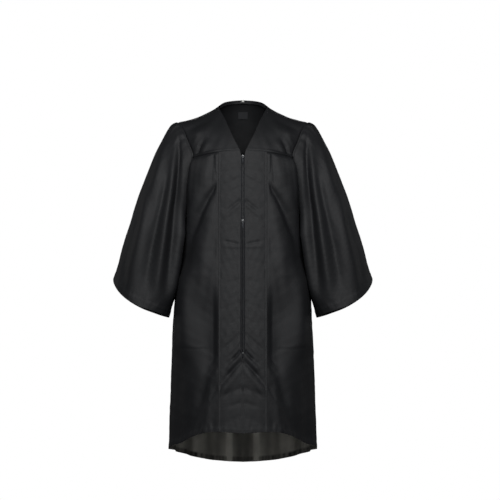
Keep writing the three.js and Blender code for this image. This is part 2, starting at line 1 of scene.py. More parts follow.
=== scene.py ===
"""A black graduation gown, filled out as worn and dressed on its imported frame.

Sizes are in millimetres and become metres where a mesh is made. +Z is up, the front faces -Y and +X is
the wearer's left. Every cloth piece starts from the form that its solid has, drawn finer and creased.
"""

from __future__ import annotations

import logging
import math
from collections.abc import Callable, Sequence
from dataclasses import dataclass
from enum import Enum

import bpy
import numpy as np
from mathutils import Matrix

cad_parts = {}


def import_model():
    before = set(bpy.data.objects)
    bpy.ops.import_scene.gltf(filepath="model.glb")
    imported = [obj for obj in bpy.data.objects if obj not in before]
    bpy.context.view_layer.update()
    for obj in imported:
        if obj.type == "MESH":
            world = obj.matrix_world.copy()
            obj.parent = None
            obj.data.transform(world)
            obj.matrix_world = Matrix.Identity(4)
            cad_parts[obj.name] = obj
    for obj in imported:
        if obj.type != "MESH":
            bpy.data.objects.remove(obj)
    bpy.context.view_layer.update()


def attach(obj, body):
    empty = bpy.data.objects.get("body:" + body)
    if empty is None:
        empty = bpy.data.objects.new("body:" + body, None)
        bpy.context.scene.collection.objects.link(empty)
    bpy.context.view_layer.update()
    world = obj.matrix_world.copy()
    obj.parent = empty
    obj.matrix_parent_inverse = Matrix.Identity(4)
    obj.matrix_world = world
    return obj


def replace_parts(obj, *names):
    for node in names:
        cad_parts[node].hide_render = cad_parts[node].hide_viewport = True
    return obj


LOG = logging.getLogger("gown")
MM = 0.001
SEEN_Z, SEEN_Y = 0.9973, 0.0732  # how much of height and of depth shows as height, from 4.2 degrees below
Array = np.ndarray


class Side(Enum):
    """The wearer's sides, with the sign of X on each."""

    LEFT = 1
    RIGHT = -1

    @property
    def word(self) -> str:
        """The side's name as the nodes spell it."""
        return self.name.lower()


class Edge(Enum):
    """The edges of a sheet of cloth."""

    TOP = "top"
    BOTTOM = "bottom"
    START = "start"
    END = "end"


class Held(Enum):
    """How a sheet of cloth is held, in the frame's own words."""

    HUNG = "hung"
    GATHERED = "gathered"


def smooth(x: Array | float, low: float, high: float) -> Array:
    """Rises smoothly from 0 at low to 1 at high.

    Args:
        x: Where to read the rise.
        low: The value where it starts.
        high: The value where it ends.

    Returns:
        The rise at x, from 0 to 1.
    """
    t = np.clip((np.asarray(x, float) - low) / (high - low), 0.0, 1.0)
    return t * t * (3.0 - 2.0 * t)


def mix(a: Array | float, b: Array | float, share: Array | float) -> Array:
    """Goes from a to b as share goes from 0 to 1."""
    return a + (b - a) * share


def bell(x: Array, spread: float) -> Array:
    """A rounded bump of height 1 at x = 0 that fades over spread."""
    return np.exp(-((x / spread) ** 2))


class Profile:
    """A smooth curve through the rows of a table that never overshoots them."""

    def __init__(self, rows: Sequence[tuple[float, float]]) -> None:
        """Fits the curve.

        Args:
            rows: Pairs of a place and the value there.
        """
        ordered = sorted(rows)
        self.xs = np.array([row[0] for row in ordered], float)
        self.ys = np.array([row[1] for row in ordered], float)
        secants = np.diff(self.ys) / np.diff(self.xs)
        before = np.concatenate([secants[:1], secants])
        after = np.concatenate([secants, secants[-1:]])
        product = before * after
        total = np.where(product > 0, before + after, 1.0)
        self.slopes = np.where(product > 0, 2.0 * product / total, 0.0)

    def __call__(self, x: Array | float) -> Array:
        """Reads the curve, held at its ends beyond them.

        Args:
            x: Where to read it.

        Returns:
            The values there.
        """
        at = np.clip(x, self.xs[0], self.xs[-1])
        i = np.clip(np.searchsorted(self.xs, at, side="right") - 1, 0, len(self.xs) - 2)
        width = self.xs[i + 1] - self.xs[i]
        t = (at - self.xs[i]) / width
        bend = t * (1 - t) * ((1 - t) * self.slopes[i] - t * self.slopes[i + 1])
        return mix(self.ys[i], self.ys[i + 1], t * t * (3 - 2 * t)) + width * bend


class SeamLine:
    """A smooth line through points of space, walked by its length from 0 to 1."""

    STEPS = 60

    def __init__(self, points: Sequence[Sequence[float]]) -> None:
        """Draws the line as a centripetal Catmull-Rom curve.

        Args:
            points: The points that the line passes through, in mm.
        """
        knots = np.array(points, float)
        padded = np.vstack([2 * knots[0] - knots[1], knots, 2 * knots[-1] - knots[-2]])
        t = np.linspace(0.0, 1.0, self.STEPS, endpoint=False)[:, None]
        parts = []
        for p0, p1, p2, p3 in zip(padded, padded[1:], padded[2:], padded[3:]):
            d0, d1, d2 = (math.sqrt(np.linalg.norm(b - a)) for a, b in ((p0, p1), (p1, p2), (p2, p3)))
            start = ((p1 - p0) / d0 - (p2 - p0) / (d0 + d1) + (p2 - p1) / d1) * d1
            end = ((p2 - p1) / d1 - (p3 - p1) / (d1 + d2) + (p3 - p2) / d2) * d1
            bend = 3 * (p2 - p1) - 2 * start - end
            twist = start + end - 2 * (p2 - p1)
            parts.append(p1 + start * t + bend * t**2 + twist * t**3)
        self.points = np.vstack([*parts, knots[-1:]])
        lengths = np.linalg.norm(np.diff(self.points, axis=0), axis=1)
        self.share = np.concatenate([[0.0], np.cumsum(lengths)]) / lengths.sum()

    def __call__(self, share: Array | float) -> Array:
        """The points at these shares of the line's length."""
        return np.stack([np.interp(share, self.share, self.points[:, axis]) for axis in range(3)], axis=-1)


@dataclass(frozen=True)
class Crease:
    """One soft fold, seen from the front or the back, in mm. A trough has a height below zero."""

    x0: float
    z0: float
    x1: float
    z1: float
    spread: float
    height: float
    bow: float = 0.0

    def relief(self, x: Array, z: Array) -> Array:
        """The height of the fold at points seen flat.

        Args:
            x: Distance out from the centre line, in mm.
            z: Height, in mm.

        Returns:
            How far each point moves out, in mm.
        """
        length = math.hypot(self.x1 - self.x0, self.z1 - self.z0)
        along = ((x - self.x0) * (self.x1 - self.x0) + (z - self.z0) * (self.z1 - self.z0)) / length
        aside = ((x - self.x0) * (self.z1 - self.z0) - (z - self.z0) * (self.x1 - self.x0)) / length
        share = np.clip(along / length, 0.0, 1.0)
        aside = aside - self.bow * 4 * share * (1 - share)
        past = np.maximum(0.0, np.maximum(-along, along - length))
        return self.height * np.exp(-((aside / self.spread) ** 2) - (past / (2.2 * self.spread)) ** 2)


@dataclass(frozen=True)
class Fold:
    """A longer fold along a bent path whose stops are x, z, spread and height, in mm."""

    stops: tuple[tuple[float, float, float, float], ...]

    def relief(self, x: Array, z: Array) -> Array:
        """The height of the fold at points seen flat.

        Args:
            x: Distance out from the centre line, in mm.
            z: Height, in mm.

        Returns:
            How far each point moves out, in mm.
        """
        best = np.zeros(np.broadcast(x, z).shape)
        for (x0, z0, spread0, height0), (x1, z1, spread1, height1) in zip(self.stops, self.stops[1:]):
            run_x, run_z = x1 - x0, z1 - z0
            share = np.clip(((x - x0) * run_x + (z - z0) * run_z) / (run_x**2 + run_z**2), 0.0, 1.0)
            away = np.hypot(x - x0 - share * run_x, z - z0 - share * run_z)
            here = mix(height0, height1, share) * bell(away, mix(spread0, spread1, share))
            best = np.where(np.abs(here) > np.abs(best), here, best)
        return best


def creased(creases: Sequence[Crease | Fold], x: Array, z: Array) -> Array:
    """The sum of several creases and folds at points seen flat.

    Args:
        creases: The creases and folds.
        x: Distance out from the centre line, in mm.
        z: Height, in mm.

    Returns:
        How far each point moves out, in mm.
    """
    total = np.zeros(np.broadcast(x, z).shape)
    for crease in creases:
        total += crease.relief(x, z)
    return total


def rumple(x: Array, z: Array, wave: float, seed: int) -> Array:
    """A gentle uneven swell, the same on each run.

    Args:
        x: Distance across the cloth, in mm.
        z: Distance down the cloth, in mm.
        wave: The usual distance from crest to crest, in mm.
        seed: Picks the pattern.

    Returns:
        The swell, mostly from -1 to 1.
    """
    random = np.random.default_rng(seed)
    total = np.zeros(np.broadcast(x, z).shape)
    count = 7
    for _ in range(count):
        angle = random.uniform(0, 2 * math.pi)
        pitch = wave * random.uniform(0.6, 1.7)
        phase = random.uniform(0, 2 * math.pi)
        bent = 0.35 * wave * np.sin(x / (1.9 * wave) + z / (2.7 * wave) + phase)
        total += np.sin(2 * math.pi * (x * math.cos(angle) + z * math.sin(angle) + bent) / pitch + phase)
    return total / math.sqrt(count)


@dataclass
class GownForm:
    """The gown's form: the sizes that its solids are made from, and the surfaces they give.

    body rows are height, half width, front depth, back depth and squareness. armhole rows are the turn
    from the shoulder point to the underarm, then x and depth on the front and on the back.
    """

    shoulder_z: float = -57.0
    underarm_z: float = -400.0
    front_yoke_z: float = -193.0
    back_yoke_z: float = -172.0
    side_hem_z: float = -1214.0
    band: float = 85.0
    tuck: float = 6.0
    body: tuple[tuple[float, ...], ...] = (
        (0, 206, 112, 96, 2.5),
        (-160, 201, 127, 112, 2.5),
        (-300, 199, 137, 124, 2.5),
        (-400, 203, 143, 133, 2.45),
        (-511, 213, 150, 143, 2.4),
        (-618, 227, 159, 154, 2.3),
        (-710, 241, 168, 165, 2.25),
        (-960, 253, 192, 194, 2.15),
        (-1260, 264, 218, 224, 2.1),
    )
    armhole: tuple[tuple[float, ...], ...] = (
        (0, 229, 0, 229, 0),
        (16, 225, 19, 225, 18),
        (32, 215, 37, 217, 35),
        (55, 197, 58, 201, 55),
        (76, 178, 73, 184, 66),
        (92, 181, 71, 184, 66),
        (120, 187, 63, 189, 60),
        (150, 196, 46, 197, 42),
        (168, 201.6, 22, 202, 21),
        (180, 203, 0, 203, 0),
    )
    shoulder_line: tuple[tuple[float, float], ...] = (
        (87, 0), (108, -14), (136, -28), (168, -42), (200, -51), (229, -57),
    )
    v_edge: tuple[tuple[float, float, float], ...] = (
        (87, 8, 0), (79, -24, -19), (62, -62, -54), (38, -103, -112), (11, -127, -167),
    )
    back_neck: tuple[tuple[float, float, float], ...] = ((0, 76, 28), (35, 68, 25), (65, 42, 17), (87, 8, 0))
    front_seam: tuple[tuple[float, float], ...] = (
        (0, -167), (60, -171), (99, -176.5), (140, -184.5), (178, -193),
    )
    back_seam: tuple[tuple[float, float], ...] = ((0, -160), (100, -162), (184, -172))
    hem: tuple[tuple[float, float], ...] = (
        (0, -1174), (22, -1168), (42, -1178), (66, -1202), (90, -1214), (114, -1221), (135, -1235),
        (158, -1250), (180, -1256),
    )
    band_inner: tuple[tuple[float, float], ...] = (
        (0, 11), (-166, 11), (-188, 6.5), (-410, 6.5), (-450, 8.2), (-858, 8.2), (-892, 5), (-918, 0.06),
        (-1260, 0.06),
    )

    def __post_init__(self) -> None:
        """Turns the tables into curves and lines."""
        self.half, self.front, self.back, self.power = (
            Profile([(row[0], row[k]) for row in self.body]) for k in (1, 2, 3, 4)
        )
        self.arm_curves = {
            (True, 0): Profile([(row[0], row[1]) for row in self.armhole]),
            (True, 1): Profile([(row[0], row[2]) for row in self.armhole]),
            (False, 0): Profile([(row[0], row[3]) for row in self.armhole]),
            (False, 1): Profile([(row[0], row[4]) for row in self.armhole]),
        }
        neck_x, neck_y, _ = self.v_edge[0]
        span = self.shoulder_line[-1][0] - neck_x
        self.shoulder_seam = SeamLine(
            [(x, neck_y * (1 - (x - neck_x) / span), z) for x, z in self.shoulder_line]
        )
        self.v_line = SeamLine(self.v_edge)
        self.neck_line = SeamLine(self.back_neck)
        self.front_seam_z = Profile(self.front_seam)
        self.back_seam_z = Profile(self.back_seam)
        self.hem_z = Profile(self.hem)
        self.inner_edge = Profile(self.band_inner)

    def body_point(self, angle: Array, z: Array) -> Array:
        """Points of the body.

        Args:
            angle: From the front (0) to the back (pi) by the wearer's left side.
            z: Heights, in mm.

        Returns:
            The points, in mm.
        """
        angle, z = np.broadcast_arrays(np.asarray(angle, float), np.asarray(z, float))
        power = 2.0 / self.power(z)
        across = np.abs(np.sin(angle)) ** power
        deep = np.abs(np.cos(angle)) ** power
        y = np.where(angle < math.pi / 2, -self.front(z) * deep, self.back(z) * deep)
        return np.stack([self.half(z) * across, y, z], axis=-1)

    def front_angle(self, x: Array | float, z: Array | float) -> Array:
        """The angle at which the body is x wide at height z, on the front."""
        return np.arcsin(np.minimum(1.0, (x / self.half(z)) ** (self.power(z) / 2)))

    def body_side(self, y: Array, z: Array) -> Array:
        """The body's half width at a depth and a height."""
        share = np.minimum(1.0, np.abs(y) / np.where(y < 0, self.front(z), self.back(z)))
        return self.half(z) * (1 - share ** self.power(z)) ** (1 / self.power(z))

    def armhole_turn(self, z: Array | float) -> Array:
        """The turn of the armhole, in degrees, at height z."""
        middle = (self.shoulder_z + self.underarm_z) / 2
        return np.degrees(np.arccos(np.clip((z - middle) / (self.shoulder_z - middle), -1, 1)))

    def armhole_x(self, turn: Array | float, front: bool) -> Array:
        """How far out the armhole lies at a turn from 0 to 180."""
        return self.arm_curves[(front, 0)](turn)

    def armhole_point(self, turn: Array | float) -> Array:
        """Points of the armhole.

        Args:
            turn: From the shoulder point, in degrees: down the front to 180 and up the back to 360.

        Returns:
            The points, in mm.
        """
        turn = np.asarray(turn, float)
        front = turn <= 180
        down = np.where(front, turn, 360 - turn)
        middle = (self.shoulder_z + self.underarm_z) / 2
        z = middle + (self.shoulder_z - middle) * np.cos(np.radians(down))
        x = np.where(front, self.arm_curves[(True, 0)](down), self.arm_curves[(False, 0)](down))
        y = np.where(front, -self.arm_curves[(True, 1)](down), self.arm_curves[(False, 1)](down))
        return np.stack([x, y, z], axis=-1)

    def panel_fall(self, v: Array, corner_z: float) -> Array:
        """The share of a panel's drop at each row, with one row at the underarm.

        Args:
            v: The share of the rows that lies above.
            corner_z: The height of the panel's upper outer corner.

        Returns:
            The share of the drop to the hem.
        """
        underarm = (self.underarm_z - corner_z) / (self.side_hem_z - corner_z)
        share = 0.3
        return np.where(v < share, v / share * underarm, mix(underarm, 1.0, (v - share) / (1 - share)))

    def zip_point(self, x: float, z: Array | float, lift: float) -> Array:
        """Points on the line where the front bands meet.

        Args:
            x: Distance to the wearer's left of it, in mm.
            z: Heights, in mm.
            lift: How far the points stand out from the body, in mm.

        Returns:
            The points, in mm.
        """
        tilt = np.arctan((self.front(z - 5) - self.front(z + 5)) / 10)
        z = np.asarray(z, float)
        return np.stack([x + 0 * z, -self.front(z) - lift * np.cos(tilt), z + lift * np.sin(tilt)], axis=-1)


def seen_height(points: Array) -> Array:
    """The height at which the photograph shows points: it looks up a little, so what is near shows higher."""
    return SEEN_Z * points[..., 2] - SEEN_Y * points[..., 1]


@dataclass
class ClothGrid:
    """A sheet of cloth as rows of points, in mm. Rows run right and columns down, seen from outside."""

    points: Array
    closed: bool = False

    @staticmethod
    def shares(across: int, down: int, closed: bool = False) -> tuple[Array, Array]:
        """The share across and down at each point of a grid.

        Args:
            across: The number of spans across.
            down: The number of spans down.
            closed: Whether the last column joins the first.

        Returns:
            The two shares, each as rows of numbers.
        """
        columns = np.arange(across if closed else across + 1) / across
        return tuple(np.meshgrid(columns, np.arange(down + 1) / down))

    def normals(self) -> Array:
        """The direction that each point faces."""
        p = self.points
        if self.closed:
            sideways = np.roll(p, -1, axis=1) - np.roll(p, 1, axis=1)
        else:
            sideways = np.gradient(p, axis=1)
        n = np.cross(np.gradient(p, axis=0), sideways)
        return n / np.maximum(np.linalg.norm(n, axis=2, keepdims=True), 1e-9)

    def raised(self, height: Array | float) -> ClothGrid:
        """The sheet with each point moved out by height."""
        height = np.broadcast_to(np.asarray(height, float), self.points.shape[:2])
        return ClothGrid(self.points + self.normals() * height[..., None], self.closed)

    def down(self) -> Array:
        """How far each point is from the top edge, along the cloth."""
        steps = np.linalg.norm(np.diff(self.points, axis=0), axis=2)
        return np.vstack([np.zeros((1, steps.shape[1])), np.cumsum(steps, axis=0)])

    def up(self) -> Array:
        """How far each point is from the bottom edge, along the cloth."""
        down = self.down()
        return down[-1:] - down

    def across(self) -> Array:
        """How far each point is from the first column, along the cloth."""
        steps = np.linalg.norm(np.diff(self.points, axis=1), axis=2)
        return np.hstack([np.zeros((steps.shape[0], 1)), np.cumsum(steps, axis=1)])

    def back_across(self) -> Array:
        """How far each point is from the last column, along the cloth."""
        across = self.across()
        return across[:, -1:] - across

    def beside(self, edge: Edge, inset: float) -> tuple[Array, Array]:
        """A line that keeps its distance from an edge, for a row of stitches.

        Args:
            edge: The edge.
            inset: The distance from it, in mm.

        Returns:
            The line's points, and the directions out of the cloth there.
        """
        measure = {
            Edge.TOP: self.down,
            Edge.BOTTOM: self.up,
            Edge.START: self.across,
            Edge.END: self.back_across,
        }
        distance, values = measure[edge](), np.concatenate([self.points, self.normals()], axis=-1)
        if edge in (Edge.START, Edge.END):
            distance, values = distance.T, values.swapaxes(0, 1)
        if edge in (Edge.BOTTOM, Edge.END):
            distance, values = distance[::-1], values[::-1]
        after = np.clip((distance < inset).sum(axis=0), 1, len(distance) - 1)
        lane = np.arange(distance.shape[1])
        near, far = distance[after - 1, lane], distance[after, lane]
        line = mix(values[after - 1, lane], values[after, lane], ((inset - near) / (far - near))[:, None])
        if self.closed and edge in (Edge.TOP, Edge.BOTTOM):
            line = np.vstack([line, line[:1]])
        return line[:, :3], line[:, 3:]

    def trimmed(self, top: float = 0, bottom: float = 0, start: float = 0, end: float = 0) -> ClothGrid:
        """The sheet with its edges drawn in from their seam lines.

        Args:
            top: How far the upper edge is drawn in, in mm, or let out where this is below zero.
            bottom: The same for the lower edge.
            start: The same for the first column.
            end: The same for the last column.

        Returns:
            The new sheet.
        """
        p = self.points.copy()
        rows, columns = p.shape[:2]
        edges = (
            (top, (0, slice(None)), (1, slice(None))),
            (bottom, (rows - 1, slice(None)), (rows - 2, slice(None))),
            (start, (slice(None), 0), (slice(None), 1)),
            (end, (slice(None), columns - 1), (slice(None), columns - 2)),
        )
        for by, edge, inner in edges:
            if by:
                step = p[inner] - p[edge]
                p[edge] += by * step / np.linalg.norm(step, axis=-1, keepdims=True)
        return ClothGrid(p, self.closed)

    def mirrored(self) -> ClothGrid:
        """The sheet on the wearer's other side, still facing out."""
        p = self.points[:, ::-1].copy()
        p[..., 0] *= -1
        return ClothGrid(p, self.closed)


class Workshop:
    """Makes meshes and puts them into the scene, on a body of the frame."""

    def __init__(self, body: str = "gown") -> None:
        """Remembers which body the pieces ride on."""
        self.body = body
        self.made: list[bpy.types.Object] = []

    def add(
        self,
        name: str,
        vertices: Array,
        faces: Sequence[Sequence[int]],
        material: bpy.types.Material,
        slot: str,
        body: str | None = None,
        crease_angle: float = 50.0,
    ) -> bpy.types.Object:
        """Adds a mesh as a piece of the gown.

        Args:
            name: The piece's name.
            vertices: Its points, in mm.
            faces: Its faces, as rows of vertex numbers.
            material: Its finish.
            slot: The record's material slot; not used.
            body: The body it rides on, or the gown's own.
            crease_angle: Edges sharper than this, in degrees, stay sharp.

        Returns:
            The new object.
        """
        mesh = bpy.data.meshes.new(name)
        mesh.from_pydata((np.asarray(vertices) * MM).tolist(), [], list(faces))
        mesh.polygons.foreach_set("use_smooth", np.ones(len(mesh.polygons), bool))
        mesh.set_sharp_from_angle(angle=math.radians(crease_angle))
        mesh.materials.append(material)
        thing = bpy.data.objects.new(name, mesh)
        bpy.context.collection.objects.link(thing)
        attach(thing, body or self.body)
        self.made.append(thing)
        return thing

    def shell(
        self,
        name: str,
        grid: ClothGrid,
        thick: float,
        material: bpy.types.Material,
        slot: str,
        reverse: bpy.types.Material | None = None,
    ) -> bpy.types.Object:
        """Adds a sheet of cloth as one closed thin wall with a flat map of itself in metres.

        Args:
            name: The piece's name.
            grid: The middle of the cloth.
            thick: Its thickness, in mm.
            material: Its finish.
            slot: The record's material slot.
            reverse: The finish of its inner face, where that differs.

        Returns:
            The new object.
        """
        rows, columns = grid.points.shape[:2]
        normals = grid.normals()
        outer_points = grid.points + normals * thick / 2
        inner_points = grid.points - normals * thick / 2
        vertices = np.concatenate([outer_points.reshape(-1, 3), inner_points.reshape(-1, 3)])
        outer = np.arange(rows * columns).reshape(rows, columns)
        if grid.closed:
            outer = np.hstack([outer, outer[:, :1]])
        inner = outer + rows * columns
        faces = np.concatenate(
            [
                self._quads(outer[:-1, :-1], outer[1:, :-1], outer[1:, 1:], outer[:-1, 1:]),
                self._quads(inner[:-1, :-1], inner[:-1, 1:], inner[1:, 1:], inner[1:, :-1]),
                self._quads(outer[0, :-1], outer[0, 1:], inner[0, 1:], inner[0, :-1]),
                self._quads(inner[-1, :-1], inner[-1, 1:], outer[-1, 1:], outer[-1, :-1]),
            ]
        )
        if not grid.closed:
            sides = [
                self._quads(inner[:-1, 0], inner[1:, 0], outer[1:, 0], outer[:-1, 0]),
                self._quads(outer[:-1, -1], outer[1:, -1], inner[1:, -1], inner[:-1, -1]),
            ]
            faces = np.concatenate([faces, *sides])
        thing = self.add(name, vertices, faces.tolist(), material, slot)
        if reverse is not None:
            thing.data.materials.append(reverse)
            half = (outer.shape[0] - 1) * (outer.shape[1] - 1)
            face_finish = np.zeros(len(faces), np.int32)
            face_finish[half : 2 * half] = 1
            thing.data.polygons.foreach_set("material_index", face_finish)
        self._map_flat(thing.data, grid)
        return thing

    @staticmethod
    def _quads(a: Array, b: Array, c: Array, d: Array) -> Array:
        """Rows of four corners from four blocks of vertex numbers."""
        return np.stack([a, b, c, d], axis=-1).reshape(-1, 4)

    @staticmethod
    def _map_flat(mesh: bpy.types.Mesh, grid: ClothGrid) -> None:
        """Writes the cloth's own flat coordinates, in metres, as its UV map.

        Args:
            mesh: The cloth's mesh, with its outer points first and then its inner ones.
            grid: The middle of the cloth.
        """
        flat = np.stack([grid.across(), grid.down()], axis=-1).reshape(-1, 2) * MM
        flat = np.concatenate([flat, flat])
        corners = np.empty(len(mesh.loops), np.int32)
        mesh.loops.foreach_get("vertex_index", corners)
        layer = mesh.uv_layers.new(name="cloth")
        layer.data.foreach_set("uv", flat[corners].ravel())


def linear_colour(hex_value: str) -> tuple[float, float, float, float]:
    """Turns an sRGB hex colour to linear light.

    Args:
        hex_value: A colour such as "#1c1d20".

    Returns:
        Its linear red, green and blue, with an alpha of 1.
    """
    parts = [int(hex_value[i : i + 2], 16) / 255 for i in (1, 3, 5)]
    light = [p / 12.92 if p <= 0.04045 else ((p + 0.055) / 1.055) ** 2.4 for p in parts]
    return (light[0], light[1], light[2], 1.0)


def add_node(
    tree: bpy.types.NodeTree, kind: str, settings: dict | None = None, links: dict | None = None
) -> bpy.types.Node:
    """Adds a node with its settings and links.

    Args:
        tree: The node tree.
        kind: The node's type, such as "ShaderNodeBsdfPrincipled".
        settings: Values by the name of a property, or by the name or number of an input.
        links: Output sockets by the name or number of the input that they feed.

    Returns:
        The new node.
    """
    node = tree.nodes.new(kind)
    for key, value in (settings or {}).items():
        if isinstance(key, str) and key not in node.inputs and hasattr(node, key):
            setattr(node, key, value)
        else:
            node.inputs[key].default_value = value
    for key, socket in (links or {}).items():
        tree.links.new(socket, node.inputs[key])
    return node


class Finish:
    """A material in the making: a node tree with one surface shader."""

    def __init__(self, name: str, **surface: object) -> None:
        """Starts the material.

        Args:
            name: The material's name.
            surface: Uniform settings of the surface shader, with underscores for spaces.
        """
        self.material = bpy.data.materials.new(name)
        self.material.use_nodes = True
        self.tree = self.material.node_tree
        self.tree.nodes.clear()
        settings = {key.replace("_", " "): value for key, value in surface.items()}
        self.surface = add_node(self.tree, "ShaderNodeBsdfPrincipled", settings)
        add_node(self.tree, "ShaderNodeOutputMaterial", links={"Surface": self.surface.outputs[0]})

    def math(self, operation: str, a: object, b: object = 0.0) -> bpy.types.NodeSocket:
        """Joins two numbers or sockets by arithmetic.

        Args:
            operation: The arithmetic, in the node's own word.
            a: The first number or socket.
            b: The second.

        Returns:
            The result's socket.
        """
        values = {i: v for i, v in enumerate((a, b)) if not isinstance(v, bpy.types.NodeSocket)}
        sockets = {i: v for i, v in enumerate((a, b)) if isinstance(v, bpy.types.NodeSocket)}
        return add_node(self.tree, "ShaderNodeMath", {"operation": operation, **values}, sockets).outputs[0]

    def noise(
        self, scale: float, detail: float, vector: bpy.types.NodeSocket
    ) -> bpy.types.NodeSocket:
        """A cloudy pattern.

        Args:
            scale: The number of its swells in a metre.
            detail: How many finer patterns it holds.
            vector: The place that it is read at.

        Returns:
            A socket from 0 to 1.
        """
        settings = {"Scale": scale, "Detail": detail}
        return add_node(self.tree, "ShaderNodeTexNoise", settings, {"Vector": vector}).outputs["Fac"]

    def place(self) -> bpy.types.NodeSocket:
        """The point's place in the gown's frame, in metres."""
        return add_node(self.tree, "ShaderNodeTexCoord").outputs["Object"]

    def bump(
        self,
        height: bpy.types.NodeSocket,
        distance: float,
        strength: float,
        under: bpy.types.NodeSocket | None = None,
    ) -> bpy.types.NodeSocket:
        """Bumps the surface.

        Args:
            height: The bumps' height, from 0 to 1.
            distance: The height that 1 stands for, in metres.
            strength: The share of it that shows.
            under: Another bump that this one lies on.

        Returns:
            The bumped normal's socket.
        """
        settings = {"Distance": distance, "Strength": strength}
        links = {"Height": height}
        if under is not None:
            links["Normal"] = under
        return add_node(self.tree, "ShaderNodeBump", settings, links).outputs["Normal"]

    def feed(self, name: str, socket: bpy.types.NodeSocket) -> None:
        """Feeds a socket into the surface shader."""
        self.tree.links.new(socket, self.surface.inputs[name])

    def blend_colours(self, factor: bpy.types.NodeSocket, low: str, high: str) -> bpy.types.NodeSocket:
        """A colour between two hex colours.

        Args:
            factor: The share of the second, from 0 to 1.
            low: The first colour.
            high: The second colour.

        Returns:
            The colour's socket.
        """
        node = add_node(
            self.tree,
            "ShaderNodeMix",
            {"data_type": "RGBA", 6: linear_colour(low), 7: linear_colour(high)},
            {0: factor},
        )
        return node.outputs[2]


@dataclass(frozen=True)
class PolyesterSatin:
    """Black polyester satin: woven filament yarn, calendered, so it is smooth with a soft silver sheen."""

    name: str = "black_polyester_satin"
    deep: str = "#1b1c1e"
    lit: str = "#242528"
    roughness: float = 0.6
    thread: float = 1.1 * MM  # real threads lie 0.2 mm apart; drawn coarser so that they show up close

    def make(self) -> bpy.types.Material:
        """Builds the material."""
        finish = Finish(self.name, Roughness=self.roughness, Specular_IOR_Level=0.4)
        place = finish.place()
        cloud = finish.noise(9.0, 4.0, place)
        finish.feed("Base Color", finish.blend_colours(cloud, self.deep, self.lit))
        flat = add_node(finish.tree, "ShaderNodeUVMap", {"uv_map": "cloth"}).outputs[0]
        parts = add_node(finish.tree, "ShaderNodeSeparateXYZ", links={0: flat})
        turns = 2 * math.pi / self.thread
        warp = finish.math("SINE", finish.math("MULTIPLY", parts.outputs[0], turns))
        weft = finish.math("SINE", finish.math("MULTIPLY", parts.outputs[1], turns / 2))
        weave = finish.bump(finish.math("MULTIPLY", warp, weft), 0.03 * MM, 0.5)
        crush = finish.bump(finish.noise(190.0, 3.0, place), 0.45 * MM, 0.3, weave)
        crumple = finish.bump(finish.noise(55.0, 4.0, place), 0.7 * MM, 0.3, crush)
        finish.feed("Normal", crumple)
        return finish.material


@dataclass(frozen=True)
class SatinReverse:
    """The dull reverse of the satin, with painted daylight: near the hem its colour is painted lighter, up to
    near white, where day would show through the thin unlined skirt.
    """

    name: str = "black_satin_reverse"
    upper: str = "#1b1c1e"
    # lower is painted daylight: a near-white colour painted in where day would show through the skirt, not a
    # colour of the cloth.
    lower: str = "#f0ede2"

    def make(self) -> bpy.types.Material:
        """Builds the material."""
        finish = Finish(self.name, Roughness=0.7, Specular_IOR_Level=0.25)
        place = finish.place()
        # How much painted daylight each point gets, as marked on the back; the noise varies it at random.
        light = add_node(finish.tree, "ShaderNodeAttribute", {"attribute_name": "daylight"}).outputs["Fac"]
        cloud = finish.math("MULTIPLY", light, finish.math("ADD", finish.noise(14.0, 3.0, place), 0.5))
        finish.feed("Base Color", finish.blend_colours(cloud, self.upper, self.lower))
        finish.feed("Normal", finish.bump(finish.noise(60.0, 5.0, place), 0.6 * MM, 0.3))
        return finish.material


@dataclass(frozen=True)
class ZipTape:
    """Woven polyester zip tape: a matt herringbone band, darker than the satin beside it."""

    name: str = "woven_polyester_tape"
    deep: str = "#212225"
    lit: str = "#333438"

    def make(self) -> bpy.types.Material:
        """Builds the material."""
        finish = Finish(self.name, Roughness=0.85, Specular_IOR_Level=0.25)
        place = finish.place()
        ribs = add_node(
            finish.tree,
            "ShaderNodeTexWave",
            {"wave_type": "BANDS", "bands_direction": "DIAGONAL", "Scale": 320.0, "Distortion": 0.4},
            {"Vector": place},
        ).outputs["Fac"]
        finish.feed("Base Color", finish.blend_colours(ribs, self.deep, self.lit))
        finish.feed("Normal", finish.bump(ribs, 0.15 * MM, 0.7))
        return finish.material


@dataclass(frozen=True)
class NylonCoil:
    """Nylon monofilament, wound and heat set: hard, smooth and a little glossy."""

    name: str = "black_nylon_coil"
    colour: str = "#404143"

    def make(self) -> bpy.types.Material:
        """Builds the material."""
        finish = Finish(self.name, Roughness=0.55, Specular_IOR_Level=0.4)
        cloud = finish.noise(400.0, 2.0, finish.place())
        finish.feed("Base Color", finish.blend_colours(cloud, self.colour, "#545557"))
        finish.feed("Normal", finish.bump(cloud, 0.05 * MM, 0.4))
        return finish.material


@dataclass(frozen=True)
class NickelPlate:
    """Nickel-plated zinc, die cast and tumbled: bright silver with faint handling scratches."""

    name: str = "nickel_plated_zinc"
    dull: str = "#565758"
    bright: str = "#737475"

    def make(self) -> bpy.types.Material:
        """Builds the material."""
        finish = Finish(self.name, Metallic=1.0, Roughness=0.45)
        scratches = finish.noise(900.0, 6.0, finish.place())
        finish.feed("Base Color", finish.blend_colours(scratches, self.dull, self.bright))
        worn = finish.math("MULTIPLY_ADD", scratches, 0.25)
        worn.node.inputs[2].default_value = 0.3
        finish.feed("Roughness", worn)
        finish.feed("Normal", finish.bump(scratches, 0.02 * MM, 0.4))
        return finish.material


